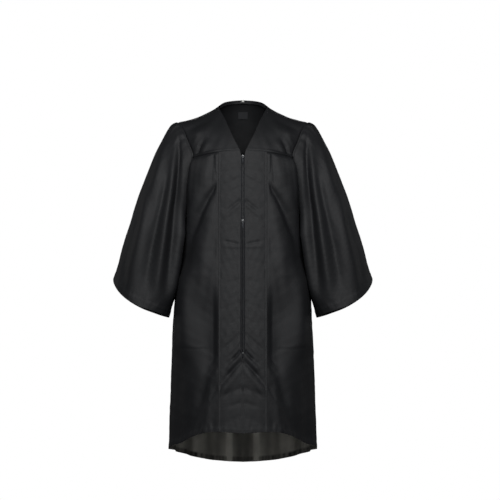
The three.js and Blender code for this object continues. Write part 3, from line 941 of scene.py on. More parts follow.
@dataclass(frozen=True)
class WovenLabel:
    """Damask label tape: fine ribs across, with a dull face."""

    name: str
    deep: str
    lit: str

    def make(self) -> bpy.types.Material:
        """Builds the material."""
        finish = Finish(self.name, Roughness=0.8, Specular_IOR_Level=0.2)
        ribs = add_node(
            finish.tree,
            "ShaderNodeTexWave",
            {"wave_type": "BANDS", "bands_direction": "Z", "Scale": 400.0},
            {"Vector": finish.place()},
        ).outputs["Fac"]
        finish.feed("Base Color", finish.blend_colours(ribs, self.deep, self.lit))
        finish.feed("Normal", finish.bump(ribs, 0.08 * MM, 0.6))
        return finish.material


@dataclass(frozen=True)
class PolyesterThread:
    """Spun polyester sewing thread: matt, and a shade lighter than the satin it holds."""

    name: str = "black_sewing_thread"
    colour: str = "#26272a"

    def make(self) -> bpy.types.Material:
        """Builds the material."""
        finish = Finish(self.name, Roughness=0.7, Specular_IOR_Level=0.3, Sheen_Weight=0.3)
        twist = finish.noise(1500.0, 2.0, finish.place())
        finish.feed("Base Color", finish.blend_colours(twist, self.colour, "#303136"))
        finish.feed("Normal", finish.bump(twist, 0.05 * MM, 0.6))
        return finish.material


@dataclass(frozen=True)
class Finishes:
    """Every finish of the gown, made once and shared by its pieces."""

    satin: bpy.types.Material
    reverse: bpy.types.Material
    tape: bpy.types.Material
    nylon: bpy.types.Material
    nickel: bpy.types.Material
    gunmetal: bpy.types.Material
    label: bpy.types.Material
    tab: bpy.types.Material
    thread: bpy.types.Material

    @classmethod
    def make(cls) -> Finishes:
        """Builds all of them."""
        return cls(
            satin=PolyesterSatin().make(),
            reverse=SatinReverse().make(),
            tape=ZipTape().make(),
            nylon=NylonCoil().make(),
            nickel=NickelPlate().make(),
            gunmetal=NickelPlate("black_nickel_plated_zinc", "#3d3e41", "#54565a").make(),
            label=WovenLabel("dark_woven_label", "#2e2f31", "#3b3c3f").make(),
            tab=WovenLabel("white_woven_tab", "#d9d9d4", "#f2f2ee").make(),
            thread=PolyesterThread().make(),
        )


@dataclass
class Garment:
    """What every part of the gown shares: its form, its workshop and its finishes."""

    form: GownForm
    shop: Workshop
    finishes: Finishes

    WALL = 0.8  # thickness of the cloth as drawn, with the fold of its edges, in mm
    STITCH = (3.2, 2.5, 0.26, 0.3)  # a lockstitch: its pitch, length, half width and height, in mm

    def sew(
        self, name: str, grid: ClothGrid, rows: Sequence[tuple[Edge, float]], mirror: int = 1
    ) -> bpy.types.Object:
        """Sews rows of lockstitch through a piece, each stitch a short raised dash of thread.

        Args:
            name: The piece's name.
            grid: The middle of its cloth, on the wearer's left.
            rows: The edges that the rows run along, and their distances from them, in mm.
            mirror: 1, or -1 for the piece on the wearer's right.

        Returns:
            The thread.
        """
        pitch, length, half, height = self.STITCH
        blocks = []
        for edge, inset in rows:
            line, out = grid.beside(edge, inset)
            walked = np.concatenate([[0], np.cumsum(np.linalg.norm(np.diff(line, axis=0), axis=1))])
            starts = np.arange(2.0, walked[-1] - 2 - length, pitch)
            values = np.concatenate([line + out * self.WALL / 2, out], axis=1)
            ends = [
                np.stack([np.interp(starts + step, walked, values[:, k]) for k in range(6)], axis=1)
                for step in (0, length)
            ]
            (near, up), (far, _) = ((end[:, :3], end[:, 3:]) for end in ends)
            side = np.cross(up, far - near)
            side *= half / np.linalg.norm(side, axis=1, keepdims=True)
            middle = (near + far) / 2
            sunk = up * 0.1
            ring = (middle + side, middle + up * height, middle - side, middle - sunk)
            blocks.append(np.stack([near - sunk, *ring, far - sunk], axis=1))
        points = np.concatenate(blocks)
        points[..., 0] *= mirror
        ring = [(1, 2), (2, 3), (3, 4), (4, 1)]
        one = np.array([(0, b, a) for a, b in ring] + [(5, a, b) for a, b in ring])[:, ::mirror]
        faces = (np.arange(len(points))[:, None, None] * 6 + one).reshape(-1, 3)
        vertices = points.reshape(-1, 3)
        thread = self.finishes.thread
        return self.shop.add(f"thread_{name}", vertices, faces.tolist(), thread, "cloth", crease_angle=80)

    def both_sides(
        self,
        node: str,
        grid: ClothGrid,
        flat: tuple[float, float],
        held: Held,
        hangs_from: Callable[[str], list[str]],
        share: float = 1.0,
        seams: Sequence[tuple[Edge, float]] = (),
    ) -> None:
        """Adds a piece on the wearer's left and its mirror on the right, in place of the two nodes.

        Args:
            node: The nodes' name without its side.
            grid: The middle of the cloth on the left.
            flat: The width and length that the piece is cut to, in mm.
            held: How it is held.
            hangs_from: Gives the nodes that it hangs from, by the side's name.
            share: The share of flat's rectangle that the cut fills.
            seams: The rows of stitches through it.
        """
        for side in Side:
            sided = grid if side is Side.LEFT else grid.mirrored()
            name = f"{node}_{side.word}"
            piece = self.shop.shell(f"cloth_{name}", sided, self.WALL, self.finishes.satin, "cloth")
            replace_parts(piece, name)
            threads = [self.sew(name, grid, seams, side.value)] if seams else []
            self.declare(piece, flat, held, hangs_from(side.word), share, threads)

    @staticmethod
    def declare(
        piece: bpy.types.Object,
        flat: tuple[float, float],
        held: Held,
        hangs_from: list[str],
        share: float = 1.0,
        with_pieces: Sequence[bpy.types.Object] = (),
    ) -> None:
        """Does nothing: how a piece of cloth was cut and what it hangs from are not recorded.

        Args:
            piece: The cloth; not used.
            flat: The width and length of the cut, in mm; not used.
            held: How it is held; not used.
            hangs_from: The nodes that it hangs from; not used.
            share: The share of flat's rectangle that the cut fills; not used.
            with_pieces: Separate pieces sewn to it; not used.
        """


def patch(
    across: int,
    down: int,
    top: Callable[[Array], Array],
    bottom: Callable[[Array], Array],
    start: Callable[[Array], Array],
    end: Callable[[Array], Array],
) -> ClothGrid:
    """Stretches a sheet between four edge lines.

    Args:
        across: Spans across.
        down: Spans down.
        top: The upper edge, by the share across.
        bottom: The lower edge, by the share across.
        start: The first column, by the share down.
        end: The last column, by the share down.

    Returns:
        The sheet.
    """
    u, v = ClothGrid.shares(across, down)
    u, v = u[..., None], v[..., None]
    rim_u, rim_v = u[0, :, 0], v[:, 0, 0]
    corners = (
        top(np.array(0.0)) * (1 - u) * (1 - v)
        + top(np.array(1.0)) * u * (1 - v)
        + bottom(np.array(0.0)) * (1 - u) * v
        + bottom(np.array(1.0)) * u * v
    )
    rows = top(rim_u)[None] * (1 - v) + bottom(rim_u)[None] * v
    columns = start(rim_v)[:, None] * (1 - u) + end(rim_v)[:, None] * u
    return ClothGrid(rows + columns - corners)


def seam_dip(distance: Array, depth: float = 1.0, reach: float = 4.0) -> Array:
    """How cloth dips into a seam, by the distance from it in mm."""
    return -depth * np.exp(-((distance / reach) ** 2))


def turned_hem(distance: Array, along: Array, width: float, seed: int, pucker: float = 0.7) -> Array:
    """The relief of a stitched hem, seen from outside.

    Args:
        distance: Distance from the edge, in mm.
        along: Distance along the edge, in mm.
        width: The hem's width, in mm.
        seed: Picks the puckers' pattern.
        pucker: The puckers' height, in mm.

    Returns:
        How far each point moves out, in mm.
    """
    double = 0.8 * (1 - smooth(distance, width - 1.5, width + 1.5))
    stitch = -0.8 * bell(distance - width + 2, 1.8)
    swell = rumple(along, 0 * along, 17.0, seed)
    return double + stitch + pucker * swell * bell(distance - width + 1, 0.8 * width)


@dataclass
class Yoke(Garment):
    """The front yokes, from the shoulder seams to the chest seam, and the back yoke."""

    front_spans: tuple[int, int] = (74, 68)
    back_spans: tuple[int, int] = (170, 62)
    drags: tuple[Crease | Fold, ...] = (
        Fold(((128, -104, 12, 0), (140, -124, 8, -3.6), (152, -144, 7, -8.0), (160, -166, 7, -7.0),
              (168, -182, 6, -1))),
        Fold(((150, -96, 10, 0), (168, -120, 7, 2.2), (178, -140, 5, 1.4), (180, -160, 4, 0))),
        Fold(((112, -120, 14, 0), (128, -140, 9, 2.4), (140, -160, 7, 2.8), (148, -178, 6, 0))),
        Fold(((104, -34, 10, 0), (130, -52, 13, -4.5), (160, -66, 13, -5.5), (190, -84, 9, -2.0))),
        Fold(((96, -52, 16, 0), (130, -86, 15, 3.4), (165, -100, 13, 4.0), (190, -112, 8, 1.0))),
        Crease(78, -46, 104, -120, 13, -1.2),
    )
    lip: tuple[tuple[float, float], ...] = (  # how far the lower edge stands out, by the distance out
        (0, 0.4), (80, 1.0), (105, 3.8), (150, 6.4), (172, 5.0), (184, 2.2),
    )
    neck_share: float = 0.52  # the share of the back yoke's columns that end at the neck
    back_folds: tuple[Crease, ...] = (
        Crease(120, -90, 172, -160, 9, 1.8),
        Crease(90, -60, 150, -150, 12, -1.2),
        Crease(20, -20, 60, -150, 22, 1.2),
    )

    def build(self) -> None:
        """Makes and dresses the three yoke pieces."""
        self._front()
        self._back()

    def _front(self) -> None:
        """Makes the two front yokes."""
        form = self.form
        corner = float(form.armhole_turn(form.front_yoke_z))
        inner_x = form.v_edge[-1][0]
        outer_x = float(form.armhole_x(corner, True))

        def seam(u: Array) -> Array:
            """The chest seam.

            Args:
                u: The share across, from the middle.

            Returns:
                Its points, in mm.
            """
            x = mix(inner_x, outer_x, u)
            z = form.front_seam_z(x)
            return form.body_point(form.front_angle(x, z), z)

        grid = patch(
            *self.front_spans, form.shoulder_seam, seam, form.v_line, lambda v: form.armhole_point(corner * v)
        )
        x, z = grid.points[..., 0], seen_height(grid.points)
        relief = creased(self.drags, x, z) * smooth(grid.back_across(), 0, 10) * smooth(grid.up(), 0, 8)
        relief += Profile(self.lip)(x) * bell(grid.up() - 5.0, 4.0)
        relief += (
            seam_dip(grid.up(), 2.0, 2.2)
            + seam_dip(grid.back_across(), 3.2, 4.5)
            + seam_dip(grid.down(), 0.9, 4)
        )
        relief += 0.35 * (1 - smooth(grid.across(), 6.5, 8.5)) - 0.3 * bell(grid.across() - 7, 1.2)
        relief += 0.35 * rumple(x, z, 46, 11)
        grid = grid.raised(relief)
        self.both_sides(
            "yoke_front",
            grid,
            (255, 215),
            Held.HUNG,
            lambda side: ["yoke_back", f"sleeve_{side}"],
            0.75,
            ((Edge.BOTTOM, 6.5), (Edge.START, 7.5)),
        )

    def _back(self) -> None:
        """Makes the back yoke, in one piece across both shoulders."""
        form = self.form
        corner = float(form.armhole_turn(form.back_yoke_z))
        corner_x = float(form.armhole_x(corner, False))
        neck_share = self.neck_share

        def top(u: Array) -> Array:
            """The shoulder seams and the neck.

            Args:
                u: The share across, from the wearer's left.

            Returns:
                Their points, in mm.
            """
            out = np.abs(u - 0.5) * 2
            neck = form.neck_line(np.minimum(1.0, out / neck_share))
            shoulder = form.shoulder_seam(np.maximum(0.0, (out - neck_share) / (1 - neck_share)))
            point = np.where((out < neck_share)[..., None], neck, shoulder)
            return point * np.stack([np.where(u < 0.5, 1, -1), 1 + 0 * u, 1 + 0 * u], axis=-1)

        def seam(u: Array) -> Array:
            """The back seam.

            Args:
                u: The share across, from the wearer's left.

            Returns:
                Its points, in mm.
            """
            x = mix(corner_x, -corner_x, u)
            z = form.back_seam_z(np.abs(x))
            point = form.body_point(math.pi - form.front_angle(np.abs(x), z), z)
            return np.stack([x, point[..., 1], z], axis=-1)

        def armhole(sign: int) -> Callable[[Array], Array]:
            """The armhole's edge on one side, by the share down."""
            return lambda v: form.armhole_point(360 - corner * v) * np.array([sign, 1, 1])

        grid = patch(*self.back_spans, top, seam, armhole(1), armhole(-1))
        x, z = grid.points[..., 0], grid.points[..., 2]
        edges = np.minimum(grid.across(), grid.back_across())
        relief = creased(self.back_folds, np.abs(x), z) * smooth(edges, 0, 10)
        relief += seam_dip(edges, 1.4, 4) + 0.5 + 1.0 * bell(grid.up() - 5, 4)
        relief += seam_dip(grid.down(), 0.9, 4) * smooth(np.abs(x), 80, 95)
        relief += 0.4 * rumple(x, z, 60, 12) * smooth(edges, 0, 10)
        grid = grid.raised(relief).trimmed(bottom=-3)
        finishes = self.finishes
        piece = self.shop.shell("cloth_yoke_back", grid, self.WALL, finishes.satin, "cloth", finishes.reverse)
        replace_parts(piece, "yoke_back")
        thread = self.sew("yoke_back", grid, ((Edge.BOTTOM, 6.5),))
        self.declare(piece, (500, 240), Held.HUNG, ["yoke_front_left", "yoke_front_right"], 0.8, [thread])


@dataclass
class SidePanels(Garment):
    """The front panels between the bands and the side seams, with their soft pleats."""

    spans: tuple[int, int] = (86, 244)
    hem_width: float = 18.0
    folds: tuple[Crease | Fold, ...] = (
        Fold(((84, -258, 6, 0), (100, -290, 8, -7), (122, -328, 11, -11), (150, -384, 15, -14),
              (178, -460, 19, -15), (196, -540, 20, -11), (206, -620, 18, 0))),
        Fold(((98, -340, 20, 0), (112, -400, 20, 5), (132, -500, 24, 8), (150, -600, 26, 7),
              (160, -700, 22, 0))),
        Fold(((120, -200, 20, 0), (140, -250, 22, 5), (158, -320, 18, 6), (176, -390, 14, 3),
              (186, -430, 10, 0))),
        Fold(((178, -300, 8, 0), (184, -340, 10, -4), (196, -410, 12, -4), (204, -460, 10, 0))),
        Fold(((180, -560, 26, 0), (190, -650, 30, 8), (198, -760, 30, 9), (200, -840, 24, 7),
              (204, -900, 16, 0))),
        Fold(((120, -880, 16, 0), (128, -940, 18, -6), (150, -1030, 22, -9), (176, -1110, 24, -9),
              (196, -1200, 24, -5))),
        Fold(((100, -950, 14, 0), (112, -1040, 20, 3), (124, -1110, 24, 4), (130, -1200, 24, 3))),
        Crease(92, -176, 90, -240, 6, -3),
    )
    sunk: tuple[float, float, float] = (-600.0, -760.0, 17.0)  # where the panel falls back behind the band
    under_yoke: tuple[tuple[float, float], ...] = (  # how far the top edge tucks under, by the distance out
        (80, 1.0), (100, 3.2), (150, 5.6), (180, 4.0),
    )
    fullness: float = 15.0  # how far the panel stands out towards its side, as over a chest
    full_at: tuple[tuple[float, float], ...] = (  # the share of that by height
        (-180, 0.6), (-225, 1.3), (-330, 1.25), (-420, 1), (-700, 1), (-840, 0.6), (-930, -0.2),
        (-1214, -1.6),
    )
    creases: tuple[Crease | Fold, ...] = (
        Crease(96, -172, 94, -232, 3.5, 1.8),
        Crease(104, -168, 110, -260, 6, -1.4),
        Crease(122, -172, 128, -300, 9, 1.2),
        Crease(146, -182, 152, -300, 8, -1.0),
        Crease(168, -190, 176, -330, 5, 1.6),
        Crease(110, -300, 168, -470, 9, 1.6, 6),
        Crease(140, -858, 206, -858, 2.6, -0.9, 2),
        Crease(136, -850, 205, -852, 4.0, 0.6, 2),
        Crease(92, -880, 112, -900, 4, -1.8),
        Crease(90, -912, 116, -944, 4.5, -1.9),
        Crease(92, -940, 110, -962, 4, 1.6),
        Crease(90, -992, 112, -1030, 5, -1.7),
        Crease(190, -620, 214, -900, 16, 2.4),
        Crease(214, -700, 232, -1000, 14, -2.2),
        Crease(120, -1000, 134, -1160, 11, 1.8),
        Crease(196, -1040, 214, -1190, 12, -2.0),
        Crease(98, -560, 128, -700, 12, 1.6),
        Crease(150, -560, 176, -700, 14, -1.6),
    )

    def build(self) -> None:
        """Makes and dresses the two side panels."""
        form = self.form
        u, v = ClothGrid.shares(*self.spans)
        inner_x = form.band - form.tuck
        corner_x = float(form.armhole_x(form.armhole_turn(form.front_yoke_z), True))
        fall = form.panel_fall(v, form.front_yoke_z)
        top = form.front_seam_z(mix(inner_x, corner_x, u))
        side = mix(form.front_yoke_z, form.side_hem_z, fall)
        on_armhole = form.armhole_x(form.armhole_turn(side), True) / form.half(side)
        outer = np.where(side > form.underarm_z, np.minimum(1, on_armhole), 1.0)
        outer_angle = np.arcsin(outer ** (form.power(side) / 2))
        z = top
        for _ in range(3):
            angle = mix(form.front_angle(inner_x, z), outer_angle, u)
            z = mix(top, form.hem_z(np.degrees(angle)), fall)
        grid = ClothGrid(form.body_point(mix(form.front_angle(inner_x, z), outer_angle, u), z))
        x, z = grid.points[..., 0], seen_height(grid.points)
        still = smooth(grid.across(), 9, 26) * smooth(grid.back_across(), 0, 16) * smooth(grid.down(), 0, 30)
        near = smooth(grid.across(), 6.5, 12) * smooth(grid.back_across(), 0, 12) * smooth(grid.down(), 0, 12)
        relief = creased(self.folds, x, z) * still + creased(self.creases, x, z) * near
        share = x / form.half(z)
        at_armhole = np.where(side > form.underarm_z - 30, smooth(grid.back_across(), 0, 11), 1.0)
        full = np.clip((share - 0.44) / 0.44, 0, 1) ** 1.6 * (1 - smooth(share, 0.91, 1)) * at_armhole
        relief += self.fullness * full * Profile(self.full_at)(z)
        high, low, depth = self.sunk
        out = grid.across()
        falling = depth * smooth(-z, -high, -low) * (1 - 0.75 * smooth(-z, 850, 960))
        relief -= falling * smooth(out, 2, 32) * (1 - smooth(out, 40, 130))
        relief += 0.8 * rumple(x, z, 120, 21) * still + 0.25 * rumple(x, z, 34, 22) * near
        relief -= Profile(self.under_yoke)(x) * np.exp(-((grid.down() / 8) ** 2))
        relief += seam_dip(grid.down(), 1.5, 2.5) + seam_dip(grid.back_across(), 2.2, 6)
        relief += turned_hem(grid.up(), grid.across(), self.hem_width, 23) * smooth(grid.across(), 6.5, 9)
        relief -= 0.5 * (1 - smooth(grid.across(), 3, 8)) + 0.9 * bell(grid.across() - 8, 2.6)
        grid = grid.raised(relief).trimmed(top=-3, end=-4)
        self.both_sides(
            "front",
            grid,
            (330, 1090),
            Held.HUNG,
            lambda side: [f"yoke_front_{side}", f"sleeve_{side}"],
            0.75,
            ((Edge.BOTTOM, self.hem_width - 2),),
        )


@dataclass
class FrontBands(Garment):
    """The two doubled bands beside the zip, puckered where they are sewn to it."""

    spans: tuple[int, int] = (46, 340)
    lift: float = 1.7
    hem_width: float = 18.0
    puckers: tuple[Crease, ...] = (
        Crease(12, -196, 70, -206, 7, 0.5),
        Crease(14, -226, 76, -236, 8, -0.6),
        Crease(22, -248, 56, -268, 6, 1.2),
        Crease(10, -286, 34, -300, 5, -0.8),
        Crease(16, -340, 44, -362, 5.5, -2.0),
        Crease(18, -356, 50, -384, 7, 1.6),
        Crease(30, -366, 70, -400, 7, -0.6),
        Crease(40, -430, 80, -446, 8, 0.5),
        Crease(20, -489, 54, -482, 5, -1.8),
        Crease(16, -501, 56, -498, 6.5, 0.9),
        Crease(26, -546, 72, -560, 9, -0.4),
        Crease(14, -618, 50, -626, 7, -0.6),
        Crease(18, -652, 40, -668, 6, 0.5),
        Crease(12, -694, 62, -716, 8, -0.8),
        Crease(34, -716, 76, -748, 10, 0.7),
        Crease(12, -752, 36, -766, 6, -0.9),
        Crease(20, -776, 60, -824, 9, 0.9),
        Crease(12, -808, 52, -846, 6, -1.3),
        Crease(40, -836, 80, -872, 8, -1.0),
        Crease(14, -836, 44, -872, 5, 1.4),
        Crease(7, -866, 30, -890, 4, -4.2),
        Crease(30, -890, 50, -906, 6, -1.6),
        Crease(10, -886, 48, -926, 6, 2.4),
        Crease(10, -908, 44, -944, 6, -3.6),
        Crease(44, -944, 78, -984, 9, -3.0),
        Crease(20, -950, 60, -996, 12, 2.6),
        Crease(12, -1000, 50, -1016, 11, -2.4),
        Crease(50, -1016, 80, -1060, 12, -1.8),
        Crease(12, -1050, 40, -1058, 9, -1.6),
        Crease(20, -1100, 60, -1116, 14, -1.0),
    )

    def build(self) -> None:
        """Makes and dresses the two bands."""
        form = self.form
        u, v = ClothGrid.shares(*self.spans)
        z = np.full_like(u, form.front_yoke_z)
        for _ in range(4):
            x = mix(form.inner_edge(z), form.band, u)
            z = mix(form.front_seam_z(x), form.hem_z(np.degrees(form.front_angle(x, z))), v)
        grid = ClothGrid(form.body_point(form.front_angle(x, z), z)).raised(self.lift)
        x, z = grid.points[..., 0], seen_height(grid.points)
        inside = smooth(grid.across(), 0, 5) * smooth(grid.back_across(), 0, 9) * smooth(grid.down(), 0, 12)
        relief = creased(self.puckers, x, z) * inside
        relief += (
            0.3 * rumple(x * 1.2, z, 42, 31) * inside
            + 0.12 * rumple(x, z, 17, 34) * inside
            + 0.4 * rumple(x, z, 130, 32) * inside
        )
        relief += 0.4 * bell(grid.across() - 8, 3) - 0.35 * bell(grid.across() - 5.5, 1.2)
        relief += 0.5 * bell(grid.back_across() - 1.5, 3) - 0.55 * bell(grid.back_across() - 6, 1.3)
        relief += seam_dip(grid.down(), 1.1, 3)
        relief += turned_hem(grid.up(), grid.across(), self.hem_width, 33, 0.3)
        grid = grid.raised(relief)
        seams = ((Edge.START, 5.5), (Edge.END, 6.0), (Edge.BOTTOM, self.hem_width - 2))
        self.both_sides("band", grid, (90, 1030), Held.HUNG, lambda side: [f"yoke_front_{side}"], seams=seams)


@dataclass
class BackPanel(Garment):
    """The back, gathered into the yoke and falling in long waves to the hem."""

    spans: tuple[int, int] = (250, 170)
    waves: int = 9
    hem_width: float = 18.0
    wave_heights: tuple[float, float, float] = (3.2, 11.0, 8.0)
    fullness: float = 8.6  # how far the top edge comes out to meet the yoke
    side_fullness: float = 1.9  # how much further it does so away from the middle
    fullness_depth: float = 90.0  # how far down that fades
    gathers: int = 33

    def build(self) -> None:
        """Makes and dresses the back."""
        form = self.form
        u, v = ClothGrid.shares(*self.spans)
        corner_x = float(form.armhole_x(form.armhole_turn(form.back_yoke_z), False))
        fall = form.panel_fall(v, form.back_yoke_z)
        out = np.abs(1 - 2 * u)
        side = mix(form.back_yoke_z, form.side_hem_z, fall)
        on_armhole = form.armhole_x(form.armhole_turn(side), False) / form.half(side)
        outer = np.where(side > form.underarm_z, np.minimum(1, on_armhole), 1.0)
        turn = np.arcsin(outer ** (form.power(side) / 2)) * out
        z = mix(form.back_seam_z(corner_x * out), form.hem_z(180 - np.degrees(turn)), fall)
        points = form.body_point(math.pi - turn, z)
        points[..., 0] *= np.where(u < 0.5, 1, -1)
        full = self.fullness + self.side_fullness * smooth(np.abs(points[..., 0]), 8, 30)
        points[..., 1] += full * (1 - smooth(form.back_seam_z(corner_x * out) - z, 0, self.fullness_depth))
        grid = ClothGrid(points)
        top, middle, low = self.wave_heights
        edge = smooth(np.minimum(u, 1 - u), 0, 0.1)
        height = np.where(v < 0.4, mix(top, middle, smooth(v, 0, 0.4)), mix(middle, low, smooth(v, 0.4, 1)))
        uneven = 0.75 + 0.25 * np.sin(7.3 * u + 1.1)
        around = 0.5 - np.where(u < 0.5, 1, -1) * turn / math.pi
        relief = -height * uneven * edge * smooth(v, 0, 0.1) * np.cos(2 * math.pi * self.waves * around)
        x, z = grid.points[..., 0], grid.points[..., 2]
        relief -= 7 * bell(np.abs(x) - 48, 13) * smooth(-z, 900, 1150)
        sides = np.minimum(grid.across(), grid.back_across())
        near = smooth(sides, 0, 14)
        drop = grid.down()
        phase = 2 * math.pi * self.gathers * around + 1.5 * np.sin(9 * around) + 0.8 * np.sin(23 * around)
        relief += 1.5 * np.cos(phase) * smooth(drop, 0, 9) * np.exp(-((drop / 95) ** 1.5)) * near
        relief += (1.0 * rumple(x, z / 3, 70, 41) + 0.3 * rumple(x, z, 30, 42)) * near * smooth(drop, 0, 30)
        relief += seam_dip(drop, 1.5, 3) + seam_dip(sides, 0.9, 4)
        relief += turned_hem(grid.up(), grid.across(), self.hem_width, 43, 1.0)
        grid = grid.raised(relief).trimmed(top=-4)
        finishes = self.finishes
        piece = self.shop.shell("cloth_back", grid, self.WALL, finishes.satin, "cloth", finishes.reverse)
        self._let_daylight_through(piece, grid)
        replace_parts(piece, "back")
        thread = self.sew("back", grid, ((Edge.BOTTOM, self.hem_width - 2),))
        self.declare(piece, (900, 1100), Held.GATHERED, ["yoke_back"], 0.8, [thread])

    def _let_daylight_through(self, piece: bpy.types.Object, grid: ClothGrid) -> None:
        """Marks how much painted daylight each point gets: less where the hem is doubled and in a strip within
        30 mm of the middle, with painted highlight streaks about 48 mm either side of it.

        Args:
            piece: The back.
            grid: The middle of its cloth.
        """
        x, z = np.abs(grid.points[..., 0]), grid.points[..., 2]
        hemmed = 1 - smooth(grid.up(), self.hem_width - 3, self.hem_width + 1)
        single = 1 - (0.5 + 0.25 * rumple(x, 0 * z, 15, 45)) * hemmed
        # Painted shade: a strip within 30 mm of the middle gets about a third less painted daylight.
        seam = 1 - 0.35 * (1 - smooth(x, 16, 30))
        # Painted highlights: two bright streaks about 48 mm either side of the middle, along the back's low
        # fold ridges.
        folds = 0.42 + 1.3 * bell(x - 48, 10) + 0.1 * smooth(x, 90, 150) + 0.08 * rumple(x, z / 5, 40, 44)
        # The painted daylight fades in from 1050 mm down to 1190 mm down.
        through = smooth(-z, 1050, 1190) * single * seam * folds
        layer = piece.data.attributes.new("daylight", "FLOAT", "POINT")
        layer.data.foreach_set("value", np.tile(np.clip(through, 0, 1).ravel(), 2).astype(np.float32))


